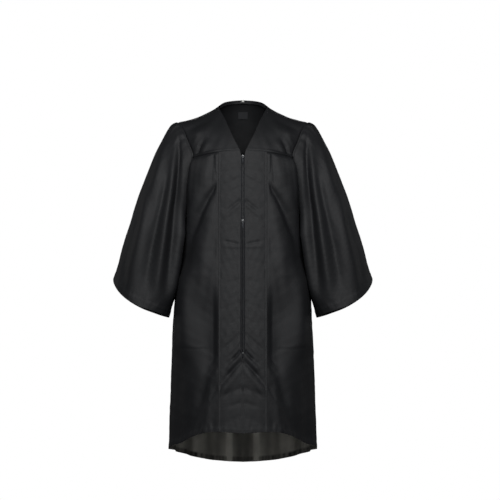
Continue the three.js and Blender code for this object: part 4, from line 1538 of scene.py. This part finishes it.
@dataclass
class BellSleeves(Garment):
    """The bell sleeves, gathered at the head and hanging open at the cuff."""

    spans: tuple[int, int] = (170, 150)
    hem_width: float = 21.0
    cuff_bulge: float = 100.0
    hug: float = 34.0  # how far the inner side swings in over the gown
    clear: float = 8.0  # how far it stays from it
    outer: tuple[tuple[float, float], ...] = (
        (229, -57), (250, -67), (265, -86), (283, -114), (305, -156), (329, -213), (351, -270), (371, -327),
        (390, -383), (409, -440), (425, -497), (441, -556), (459, -616),
    )
    inner: tuple[tuple[float, float], ...] = (
        (206, -402), (213, -450), (223, -515), (238, -618), (250, -705), (263, -752),
    )
    depth: tuple[tuple[float, float, float], ...] = ((0, 74, 68), (0.3, 92, 84), (0.65, 99, 96), (1, 98, 100))
    front_folds: tuple[Crease | Fold, ...] = (
        Fold(((224, -84, 5, -1), (226, -140, 7, -6), (228, -230, 10, -13), (232, -330, 13, -19),
              (242, -430, 16, -20), (254, -530, 18, -17), (266, -640, 20, -9), (272, -720, 20, 0))),
        Fold(((238, -120, 8, 0), (246, -200, 11, 4), (254, -280, 13, 7), (268, -380, 15, 11),
              (284, -500, 17, 11), (300, -620, 18, 7), (308, -700, 18, 0))),
        Fold(((262, -230, 12, 0), (280, -310, 14, -8), (300, -400, 16, -11), (322, -500, 19, -12),
              (340, -600, 21, -9), (352, -690, 20, -2))),
        Fold(((272, -130, 12, 0), (292, -200, 15, 4), (314, -270, 17, 7), (340, -350, 20, 10),
              (366, -460, 22, 11), (388, -580, 24, 8), (398, -670, 22, 3))),
        Fold(((352, -330, 14, 0), (380, -420, 17, -7), (404, -510, 19, -8), (424, -600, 18, -4),
              (432, -640, 16, 0))),
    )
    back_folds: tuple[Crease | Fold, ...] = (
        Fold(((226, -90, 6, -3), (228, -200, 10, -12), (234, -320, 12, -14), (246, -440, 14, -12),
              (260, -560, 16, 0))),
        Fold(((258, -100, 12, 0), (280, -220, 15, 8), (300, -360, 18, 11), (318, -500, 20, 8),
              (330, -640, 20, 2))),
        Fold(((286, -240, 14, 0), (322, -380, 18, -9), (350, -520, 20, -10), (368, -660, 20, -3))),
        Fold(((322, -280, 14, 0), (362, -420, 18, 8), (396, -560, 20, 7), (410, -650, 18, 2))),
        Fold(((246, -440, 12, 0), (268, -560, 16, 7), (284, -690, 18, 5))),
    )

    def __post_init__(self) -> None:
        """Turns the tables into lines."""
        self.outer_line = SeamLine([(x, 0, z) for x, z in self.outer])
        self.inner_line = SeamLine([(x, 0, z) for x, z in self.inner])
        self.front_depth = Profile([(row[0], row[1]) for row in self.depth])
        self.back_depth = Profile([(row[0], row[2]) for row in self.depth])

    def _points(self, turn: Array, along: Array) -> Array:
        """Points of the sleeve.

        Args:
            turn: From the top by the front, in degrees.
            along: The share of the way to the cuff.

        Returns:
            The points, in mm.
        """
        cos, sin = np.cos(np.radians(turn)), np.sin(np.radians(turn))
        outer, inner = self.outer_line(along), self.inner_line(along)
        ring = (outer + inner) / 2 + (outer - inner) * (cos / 2)[..., None]
        ring[..., 1] = np.where(sin > 0, -self.front_depth(along) * sin, -self.back_depth(along) * sin)
        inward = (1 - cos) / 2
        cuff = smooth(along, 0.72, 1) * (1 + 0.1 * sin)
        ring[..., 2] -= self.cuff_bulge * cuff * inward**0.45 * (1 - inward) ** 1.15
        hug = self.hug * smooth(-ring[..., 2], 380, 470) * (1 - smooth(-ring[..., 2], 640, 760))
        hug *= smooth(inward, 0.5, 0.85) * smooth(np.abs(sin), 0, 0.75)
        free = ring[..., 0] - self.form.body_side(ring[..., 1], ring[..., 2]) - self.clear
        ring[..., 0] -= np.minimum(hug, np.maximum(0, free))
        hole = self.form.armhole_point(turn)
        hole[..., 0] += 3 * inward**6
        hole += (outer - self.outer_line(np.array(0.0))) * ((1 - inward) ** 3)[..., None]
        return mix(hole, ring, smooth(along, 0, 0.3)[..., None])

    def build(self) -> None:
        """Makes and dresses the two sleeves."""
        u, v = ClothGrid.shares(*self.spans, closed=True)
        along = v**1.25
        turn = 360 - 360 * u
        grid = ClothGrid(self._points(turn, along), closed=True)
        x, y, z = (grid.points[..., k] for k in range(3))
        side = smooth(np.abs(y), 0, 40)
        front = creased(self.front_folds, x, seen_height(grid.points))
        back = creased(self.back_folds, x, z)
        relief = np.where(y < 0, front, back) * side * smooth(along, 0.01, 0.12)
        from_top = 180 - np.abs(180 - turn)
        head = 1 - smooth(from_top, 40, 76)
        drop = grid.down()
        swing = 15 * np.radians(from_top) * 1.2
        relief += 1.4 * np.cos(swing) * smooth(along, 0, 0.02) * (1 - smooth(along, 0.02, 0.16)) * (
            1 - smooth(from_top, 40, 62)
        )
        phase = np.radians(turn) * 34 + 1.3 * np.sin(np.radians(turn) * 5)
        relief += 1.0 * np.cos(phase) * smooth(drop, 0, 7) * np.exp(-((drop / 46) ** 1.6)) * head
        swell = 0.9 * rumple(x + 0.6 * y, z / 2.2, 62, 51) + 0.25 * rumple(x + y, z, 26, 52)
        relief += swell * smooth(drop, 4, 40)
        relief += seam_dip(drop, 2.0, 4)
        round_cuff = np.radians(turn) * 110
        hem = turned_hem(grid.up(), round_cuff, self.hem_width, 53, 0.6)
        relief += hem + 0.9 * bell(grid.up() - self.hem_width, 3.5)
        grid = grid.raised(relief).trimmed(top=-3)
        self.both_sides(
            "sleeve",
            grid,
            (750, 640),
            Held.GATHERED,
            lambda word: [f"yoke_front_{word}", f"front_{word}", "yoke_back", "back"],
            0.88,
            ((Edge.BOTTOM, self.hem_width - 2),),
        )


class Loft:
    """Closed meshes made from rings of points, for the small hard parts, in mm."""

    @staticmethod
    def rounded(half_x: float, half_up: float, half_down: float, power: float, count: int) -> Array:
        """A rounded rectangle as a ring in X and Z.

        Args:
            half_x: Half its width.
            half_up: How far it reaches up from its middle.
            half_down: How far it reaches down.
            power: How square its corners are.
            count: The number of points.

        Returns:
            The ring's X and Z, in rows.
        """
        turn = 2 * math.pi * np.arange(count) / count
        sin, cos = np.sin(turn), np.cos(turn)
        scale = (np.abs(sin) ** power + np.abs(cos) ** power) ** (-1 / power)
        return np.stack([half_x * scale * sin, np.where(cos > 0, half_up, half_down) * scale * cos], axis=-1)

    @staticmethod
    def at_depth(ring: Array, y: float) -> Array:
        """The ring's points at one depth."""
        return np.stack([ring[:, 0], np.full(len(ring), y), ring[:, 1]], axis=-1)

    @staticmethod
    def join(rings: Sequence[Array], wrap: bool = False) -> tuple[Array, list[list[int]]]:
        """Joins rings into one closed mesh.

        Args:
            rings: Rings of equally many points.
            wrap: Whether the last ring joins the first, or else both ends are closed by a fan.

        Returns:
            The vertices and the faces.
        """
        count, size = len(rings), len(rings[0])
        faces = []
        for k in range(count if wrap else count - 1):
            a, b = k * size, (k + 1) % count * size
            faces += [[a + i, a + (i + 1) % size, b + (i + 1) % size, b + i] for i in range(size)]
        vertices = list(rings)
        if not wrap:
            vertices += [rings[0].mean(axis=0)[None], rings[-1].mean(axis=0)[None]]
            first, last = count * size, (count - 1) * size
            faces += [[first, (i + 1) % size, i] for i in range(size)]
            faces += [[first + 1, last + i, last + (i + 1) % size] for i in range(size)]
        return np.concatenate(vertices), faces

    @classmethod
    def plate(
        cls, ring: Callable[[float], Array], near: float, far: float, edge: float
    ) -> tuple[Array, list]:
        """A flat plate with rounded edges.

        Args:
            ring: Gives the outline drawn in by a distance.
            near: The depth of its front.
            far: The depth of its back.
            edge: The radius of its edges.

        Returns:
            The vertices and the faces.
        """
        steps = [(1.0, 0.0), (0.35, 0.12), (0.0, 0.5)]
        rings = [cls.at_depth(ring(edge * i), near + edge * j * 2) for i, j in steps]
        rings += [cls.at_depth(ring(edge * i), far - edge * j * 2) for i, j in steps[::-1]]
        return cls.join(rings)

    @classmethod
    def tube(cls, path: Array, radius: float, sides: int) -> tuple[Array, list]:
        """A round bar along a path that mostly runs across X and Y.

        Args:
            path: The points of its middle.
            radius: Its radius.
            sides: The number of points around it.

        Returns:
            The vertices and the faces.
        """
        along = np.gradient(path, axis=0)
        along /= np.linalg.norm(along, axis=1, keepdims=True)
        side = np.cross(along, [0.0, 0.0, 1.0])
        side /= np.maximum(np.linalg.norm(side, axis=1, keepdims=True), 1e-6)
        up = np.cross(side, along)
        turn = 2 * math.pi * np.arange(sides) / sides
        rings = path[:, None] + radius * (
            np.cos(turn)[None, :, None] * side[:, None] + np.sin(turn)[None, :, None] * up[:, None]
        )
        return cls.join(list(rings))

    @staticmethod
    def together(parts: Sequence[tuple[Array, list]]) -> tuple[Array, list]:
        """Several meshes as one.

        Args:
            parts: The vertices and the faces of each.

        Returns:
            The vertices and the faces.
        """
        vertices, faces, start = [], [], 0
        for points, rows in parts:
            vertices.append(points)
            faces += [[start + i for i in row] for row in rows]
            start += len(points)
        return np.concatenate(vertices), faces


@dataclass
class ZipFastener(Garment):
    """The coil zip: two tapes, its teeth, two sliders with their pull tabs, and the bottom stop."""

    top_z: float = -191.0
    low_z: float = -421.0
    end_z: float = -890.0
    pitch: float = 1.3
    wire: float = 0.36
    steps: int = 9
    lift: float = 1.3
    closed_reach: tuple[float, float] = (-0.9, 3.1)
    open_reach: tuple[float, float] = (1.5, 4.4)
    coil_depth: float = 0.75
    tape_reach: float = 16.1
    tape_end: float = 14.0  # how far the tapes run on below the stop
    tape_thick: float = 0.6
    slider_half: float = 4.3
    slider_length: float = 11.5
    slider_depth: float = 4.4
    slider_lift: float = 2.9
    pin_out: float = 3.3

    def build(self) -> None:
        """Makes and dresses the zip."""
        for side in Side:
            self._tape(side)
            self._open_row(side)
        self._chain()
        for word, height in (("top", self.top_z), ("low", self.low_z)):
            self._slider(word, height)
            self._pull(word, height)
        self._stop()

    def _tape(self, side: Side) -> None:
        """Makes one tape, which runs under the teeth and the band.

        Args:
            side: The side it is on.
        """
        u, v = ClothGrid.shares(18, 190)
        z = mix(self.top_z, self.end_z - self.tape_end, v)
        open_end = 1 - smooth(z, self.low_z - 12, self.low_z + 2)
        x = mix(0.4, self.tape_reach, u)
        points = self.form.zip_point(0, z, -0.3)
        points[..., 0] = x
        dip = 2.4 * open_end * bell(x - 8.0, 1.5)
        grid = ClothGrid(points).raised(0.12 * np.sin(z / 2.1) * bell(x - 6.5, 2.0) - dip)
        grid = grid if side is Side.LEFT else grid.mirrored()
        name = f"zip_tape_{side.word}"
        piece = self.shop.shell(f"woven_{name}", grid, self.tape_thick, self.finishes.tape, "tape")
        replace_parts(piece, name)
        self.declare(piece, (16, 714), Held.HUNG, [f"band_{side.word}"])

    def _coil(
        self, start_z: float, end_z: float, reach: tuple[float, float], shift: float, sign: int
    ) -> tuple[Array, list]:
        """Winds one row of teeth as a flattened coil.

        Args:
            start_z: Its upper end.
            end_z: Its lower end.
            reach: Its inner and outer side.
            shift: The share of a turn that it starts at.
            sign: The side it is on.

        Returns:
            The vertices and the faces.
        """
        turns = int((start_z - end_z) / self.pitch)
        turn = np.arange(turns * self.steps + 1) / self.steps
        phase = 2 * math.pi * (turn + shift)
        middle, half = (reach[0] + reach[1]) / 2, (reach[1] - reach[0]) / 2
        z = start_z - self.pitch * turn
        across = np.sign(np.cos(phase)) * np.abs(np.cos(phase)) ** 0.7
        path = self.form.zip_point(0, z, self.lift)
        path[:, 0] = sign * (middle + half * across)
        path[:, 1] -= self.coil_depth * np.sin(phase)
        return Loft.tube(path, self.wire, 5)

    def _open_row(self, side: Side) -> None:
        """Makes one row of teeth below the lower slider.

        Args:
            side: The side it is on.
        """
        start = self.low_z - self.slider_length / 2 - 0.6
        points, faces = self._coil(start, self.end_z + 2, self.open_reach, 0.0, side.value)
        name = f"zip_row_{side.word}"
        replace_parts(self.shop.add(f"coil_{name}", points, faces, self.finishes.nylon, "nylon"), name)

    def _chain(self) -> None:
        """Makes the two rows locked together between the sliders."""
        start = self.top_z - self.slider_length / 2 - 0.6
        end = self.low_z + self.slider_length / 2 + 0.6
        rows = [
            self._coil(start, end, self.closed_reach, 0.25 * (1 - side.value), side.value) for side in Side
        ]
        points, faces = Loft.together(rows)
        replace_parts(self.shop.add("coil_zip_chain", points, faces, self.finishes.nylon, "nylon"), "zip_chain")

    def _on_zip(self, points: Array, z: float, lift: float) -> Array:
        """Puts points onto the zip.

        Args:
            points: The points, about their own middle.
            z: The height on the zip, in mm.
            lift: How far their middle stands out from the body, in mm.

        Returns:
            The points in the gown.
        """
        slope = math.atan((self.form.front(z - 5) - self.form.front(z + 5)) / 10)
        turned = points.copy()
        turned[:, 1] = points[:, 1] * math.cos(slope) + points[:, 2] * math.sin(slope)
        turned[:, 2] = -points[:, 1] * math.sin(slope) + points[:, 2] * math.cos(slope)
        return turned + self.form.zip_point(0, z, lift)

    def _slider(self, word: str, height: float) -> None:
        """Makes one slider: two plates joined by a wedge, with an arch for the pull tab.

        Args:
            word: Which slider, as its node spells it.
            height: Its height, in mm.
        """
        half, length, depth = self.slider_half, self.slider_length / 2, self.slider_depth

        def shield(inset: float) -> Array:
            """The plates' outline, narrower below.

            Args:
                inset: How far it is drawn in, in mm.

            Returns:
                The outline's X and Z.
            """
            ring = Loft.rounded(half - inset, length - inset, length - inset, 4.0, 48)
            ring[:, 0] *= 1 - 0.17 * smooth(-ring[:, 1], -length * 0.4, length)
            return ring

        near, far = self.pin_out - depth / 2, self.pin_out + depth / 2
        parts = [Loft.plate(shield, near, near + 1.2, 0.4), Loft.plate(shield, far - 1.1, far, 0.35)]
        wedge = Loft.plate(
            lambda inset: Loft.rounded(1.1 - inset, 2.2 - inset, 1.6, 2.4, 24), near + 1, far - 1, 0.1
        )
        wedge[0][:, 2] += length - 2.5
        parts.append(wedge)
        for sign in (1, -1):
            flange = Loft.plate(
                lambda _: Loft.rounded(0.4, length - 1.6, length - 1.9, 6.0, 20), near + 0.9, near + 1.7, 0.1
            )
            flange[0][:, 0] += sign * (half - 0.75)
            parts.append(flange)
        turn = np.linspace(0, math.pi, 25)
        rise = np.sin(turn) ** 0.6
        arch = np.stack([0 * turn, near + 0.4 - (near + 0.4 + 1.75) * rise, 3.55 * np.cos(turn)], axis=-1)
        thick = np.linspace(-math.pi, math.pi, 15)[:-1]
        rings = []
        along = np.gradient(arch, axis=0)
        along /= np.linalg.norm(along, axis=1, keepdims=True)
        for point, forward in zip(arch, along):
            out = np.cross([1.0, 0.0, 0.0], forward)
            rings.append(
                point + 0.9 * np.cos(thick)[:, None] * [1, 0, 0] + 0.5 * np.sin(thick)[:, None] * out
            )
        parts.append(Loft.join(rings))
        points, faces = Loft.together(parts)
        points = self._on_zip(points, height, self.slider_lift + self.pin_out)
        name = f"zip_slider_{word}"
        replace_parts(self.shop.add(f"cast_{name}", points, faces, self.finishes.nickel, "metal"), name)

    def _pull(self, word: str, height: float) -> None:
        """Makes one pull tab with its eye, hanging from the pin.

        Args:
            word: Which slider carries it, as its node spells it.
            height: The slider's height, in mm.
        """
        eye_z, count = -3.1, 64

        def outline(inset: float) -> Array:
            """The tab's outer edge, about the eye.

            Args:
                inset: How far it is drawn in, in mm.

            Returns:
                The edge's X and Z.
            """
            ring = Loft.rounded(3.0 - inset, 3.7 - inset, 21.9 - inset, 5.0, count)
            ring[:, 0] *= 1 - 0.14 * bell(ring[:, 1] + 9, 5)
            return ring

        def eye(inset: float) -> Array:
            """The edge of the eye."""
            return Loft.rounded(1.5 + inset, 2.5 + inset, 2.5 + inset, 5.0, count)

        face, edge = 0.6, 0.28
        walk = (
            (outline(2 * edge), -face + 0.18), (outline(1.2 * edge), -face),
            (outline(0.3 * edge), -face + 0.12), (outline(0), -face + 1.6 * edge),
            (outline(0), face - 1.6 * edge), (outline(edge), face),
            (eye(edge), face), (eye(0), face - edge), (eye(0), -face + edge), (eye(edge), -face),
        )
        points, faces = Loft.join([Loft.at_depth(ring, y) for ring, y in walk], wrap=True)
        points[:, 2] += eye_z
        points = self._on_zip(points, height, self.slider_lift + self.pin_out)
        name = f"zip_pull_{word}"
        gunmetal = self.finishes.gunmetal
        piece = self.shop.add(f"cast_{name}", points, faces, gunmetal, "metal", body=f"pull_{word}")
        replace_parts(piece, name)

    def _stop(self) -> None:
        """Makes the crimped stop at the zip's lower end."""

        def outline(inset: float) -> Array:
            """The stop's outline."""
            return Loft.rounded(3.7 - inset, 1.6 - inset, 1.6 - inset, 4.0, 32)

        points, faces = Loft.plate(outline, -1.3, 1.3, 0.5)
        points = self._on_zip(points, self.end_z, self.lift)
        piece = self.shop.add("crimped_zip_stop", points, faces, self.finishes.nickel, "metal")
        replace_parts(piece, "zip_stop")


@dataclass
class NeckFinish(Garment):
    """The binding inside the back neck, with the bare label and the white tab under it."""

    binding_height: float = 11.0
    label: tuple[float, float] = (34.0, 26.0)
    label_middle: tuple[float, float] = (96.0, -25.0)
    label_tilt: float = 17.0
    tab: tuple[float, float] = (9.0, 7.0)
    tab_middle: tuple[float, float] = (71.1, 25.0)

    def build(self) -> None:
        """Makes and dresses the three pieces."""
        label = self._bare(
            "neck_label", self.label, self.label_middle, self.finishes.label, "label", self.label_tilt
        )
        self.declare(label, self.label, Held.HUNG, ["yoke_back"])
        tab = self._bare("neck_tab", self.tab, self.tab_middle, self.finishes.tab, "tab")
        self._binding(tab)

    def _binding(self, tab: bpy.types.Object) -> None:
        """Makes the binding, a narrow fold of the same satin that carries the tab.

        Args:
            tab: The white tab.
        """
        u, v = ClothGrid.shares(180, 12)
        x = mix(87, -87, u) * 0.9
        edge = self.form.neck_line(np.minimum(1.0, np.abs(x) / 87))
        side = np.where(x < 0, -1, 1)
        points = np.stack(
            [
                side * edge[..., 0] * (1 - 0.012),
                edge[..., 1] - 0.6 - 0.8 - 1.1 + 0.25 * self.binding_height * v,
                edge[..., 2] - self.binding_height * v - 0.5,
            ],
            axis=-1,
        )
        grid = ClothGrid(points)
        swell = 0.16 * rumple(grid.across(), 0 * u, 14, 61)
        grid = grid.raised(0.3 * np.sin(math.pi * v) ** 0.6 + swell * v - 0.25 * bell(v - 0.8, 0.08))
        piece = self.shop.shell("cloth_neck_binding", grid, 0.9, self.finishes.satin, "cloth")
        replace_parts(piece, "neck_binding")
        thread = self.sew("neck_binding", grid, ((Edge.BOTTOM, 2.0),))
        self.declare(piece, (200, 12), Held.HUNG, ["yoke_back"], with_pieces=[tab, thread])

    def _bare(
        self,
        node: str,
        size: tuple[float, float],
        middle: tuple[float, float],
        finish: bpy.types.Material,
        slot: str,
        tilt: float = 0.0,
    ) -> bpy.types.Object:
        """Makes a small woven rectangle with turned ends and nothing on it.

        Args:
            node: The node that it replaces.
            size: Its width and height, in mm.
            middle: Its depth and height in the gown, in mm.
            finish: Its finish.
            slot: The record's material slot.
            tilt: How far its top leans out of the upright towards the front, in degrees.

        Returns:
            The new object.
        """
        width, height = size
        u, v = ClothGrid.shares(36, 28)
        x, z = width * (u - 0.5), height * (0.5 - v)
        bow = 0.35 * np.cos(math.pi * (u - 0.5)) + 0.12 * np.sin(5 * u + 3 * v)
        turned = 0.22 * (smooth(np.abs(u - 0.5), 0.42, 0.44) - 0.5)
        out, lean = bow - 0.3, math.radians(tilt)
        y = middle[0] + out * math.cos(lean) - z * math.sin(lean)
        points = np.stack([x, y, middle[1] + out * math.sin(lean) + z * math.cos(lean)], axis=-1)
        grid = ClothGrid(points).raised(-turned)
        piece = self.shop.shell(f"woven_{node}", grid, 0.6, finish, slot)
        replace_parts(piece, node)
        return piece


@dataclass
class Studio:
    """The pale floor, the soft lights and the long lens."""

    pixel: float = 3.55  # mm of the gown to a pixel of the picture
    picture: int = 500
    axis_column: float = 242.85  # the picture column on the gown's centre line
    zero_row: float = 106.0  # the picture row at height zero
    distance: float = 24.0
    elevation: float = -4.2
    floor_z: float = -2.6

    def build(self) -> None:
        """Sets the camera, the lights and the floor."""
        self._camera()
        self._floor()
        self._lights()

    def _camera(self) -> None:
        """Looks at the middle of the picture from far off, a little from below."""
        middle = self.picture / 2
        tilt = math.radians(self.elevation)
        aim_x = (middle - self.axis_column) * self.pixel * MM
        aim_z = (self.zero_row - middle) * self.pixel * MM / math.cos(tilt)
        data = bpy.data.cameras.new("camera")
        data.sensor_width = 36.0
        data.lens = data.sensor_width * self.distance / (self.picture * self.pixel * MM)
        data.clip_end = 200.0
        camera = bpy.data.objects.new("camera", data)
        camera.location = (
            aim_x,
            -self.distance * math.cos(tilt),
            aim_z + self.distance * math.sin(tilt),
        )
        camera.rotation_euler = (math.pi / 2 - tilt, 0, 0)
        bpy.context.collection.objects.link(camera)
        bpy.context.scene.camera = camera

    def _floor(self) -> None:
        """Lays a wide pale floor."""
        reach = 60.0
        mesh = bpy.data.meshes.new("floor")
        corners = [(-reach, -reach), (reach, -reach), (reach, reach), (-reach, reach)]
        mesh.from_pydata([(x, y, self.floor_z) for x, y in corners], [], [(0, 1, 2, 3)])
        floor = bpy.data.objects.new("floor", mesh)
        bpy.context.collection.objects.link(floor)
        glow = {"Emission_Color": linear_colour("#f4f4f3"), "Emission_Strength": 0.9}
        finish = Finish("matt_white_paint", Roughness=0.9, Specular_IOR_Level=0.1, **glow)
        grain = finish.noise(3.0, 3.0, finish.place())
        finish.feed("Base Color", finish.blend_colours(grain, "#e8e8e7", "#ececeb"))
        mesh.materials.append(finish.material)
        floor.visible_diffuse = floor.visible_glossy = False

    def _lights(self) -> None:
        """Hangs the softboxes and sets a white surround."""
        boxes = (
            ("key", (0.0, -2.5, 0.6), (1.5, 1.2), 34.0),
            ("fill_left", (1.9, -2.1, 0.9), (1.2, 1.2), 5.0),
            ("fill_right", (-1.9, -2.1, 0.9), (1.2, 1.2), 5.0),
            ("low", (0.0, -4.0, -1.7), (1.4, 0.8), 8.0),
            ("left", (3.3, 1.7, 0.6), (1.6, 2.4), 7.0),
            ("right", (-3.3, 1.7, 0.6), (1.6, 2.4), 7.0),
            ("back", (0.0, 4.0, 0.9), (2.4, 2.4), 55.0),
        )
        aim = np.array([0.0, 0.0, -0.55])
        for name, place, size, power in boxes:
            data = bpy.data.lights.new(name, "AREA")
            data.shape = "RECTANGLE"
            data.size, data.size_y = size
            data.energy = power
            lamp = bpy.data.objects.new(name, data)
            lamp.location = place
            lamp.rotation_euler = self._facing(place, aim)
            bpy.context.collection.objects.link(lamp)
        world = bpy.data.worlds.new("white_surround")
        bpy.context.scene.world = world
        world.use_nodes = True
        tree = world.node_tree
        tree.nodes.clear()
        seen = add_node(tree, "ShaderNodeBackground", {"Color": linear_colour("#ffffff"), "Strength": 1.0})
        lit = add_node(tree, "ShaderNodeBackground", {"Color": linear_colour("#f4f6fa"), "Strength": 0.035})
        path = add_node(tree, "ShaderNodeLightPath")
        both = add_node(
            tree,
            "ShaderNodeMixShader",
            links={0: path.outputs["Is Camera Ray"], 1: lit.outputs[0], 2: seen.outputs[0]},
        )
        add_node(tree, "ShaderNodeOutputWorld", links={"Surface": both.outputs[0]})
        view = bpy.context.scene.view_settings
        view.view_transform = "Standard"
        view.look = "None"

    @staticmethod
    def _facing(place: Sequence[float], aim: Array) -> tuple[float, float, float]:
        """The turn that points a lamp from place to aim."""
        x, y, z = aim - np.array(place)
        return (math.atan2(math.hypot(x, y), -z), 0.0, math.atan2(y, x) - math.pi / 2)


def main() -> None:
    """Builds the gown in order and reports each part."""
    logging.basicConfig(level=logging.INFO, format="%(message)s")
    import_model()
    studio = Studio()
    studio.build()
    form = GownForm()
    shop = Workshop()
    finishes = Finishes.make()
    for part in (Yoke, SidePanels, FrontBands, BackPanel, BellSleeves, ZipFastener, NeckFinish):
        before = len(shop.made)
        part(form, shop, finishes).build()
        for piece in shop.made[before:]:
            LOG.info("%s: %s, %d faces", part.__name__, piece.name, len(piece.data.polygons))


if __name__ == "__main__":
    main()
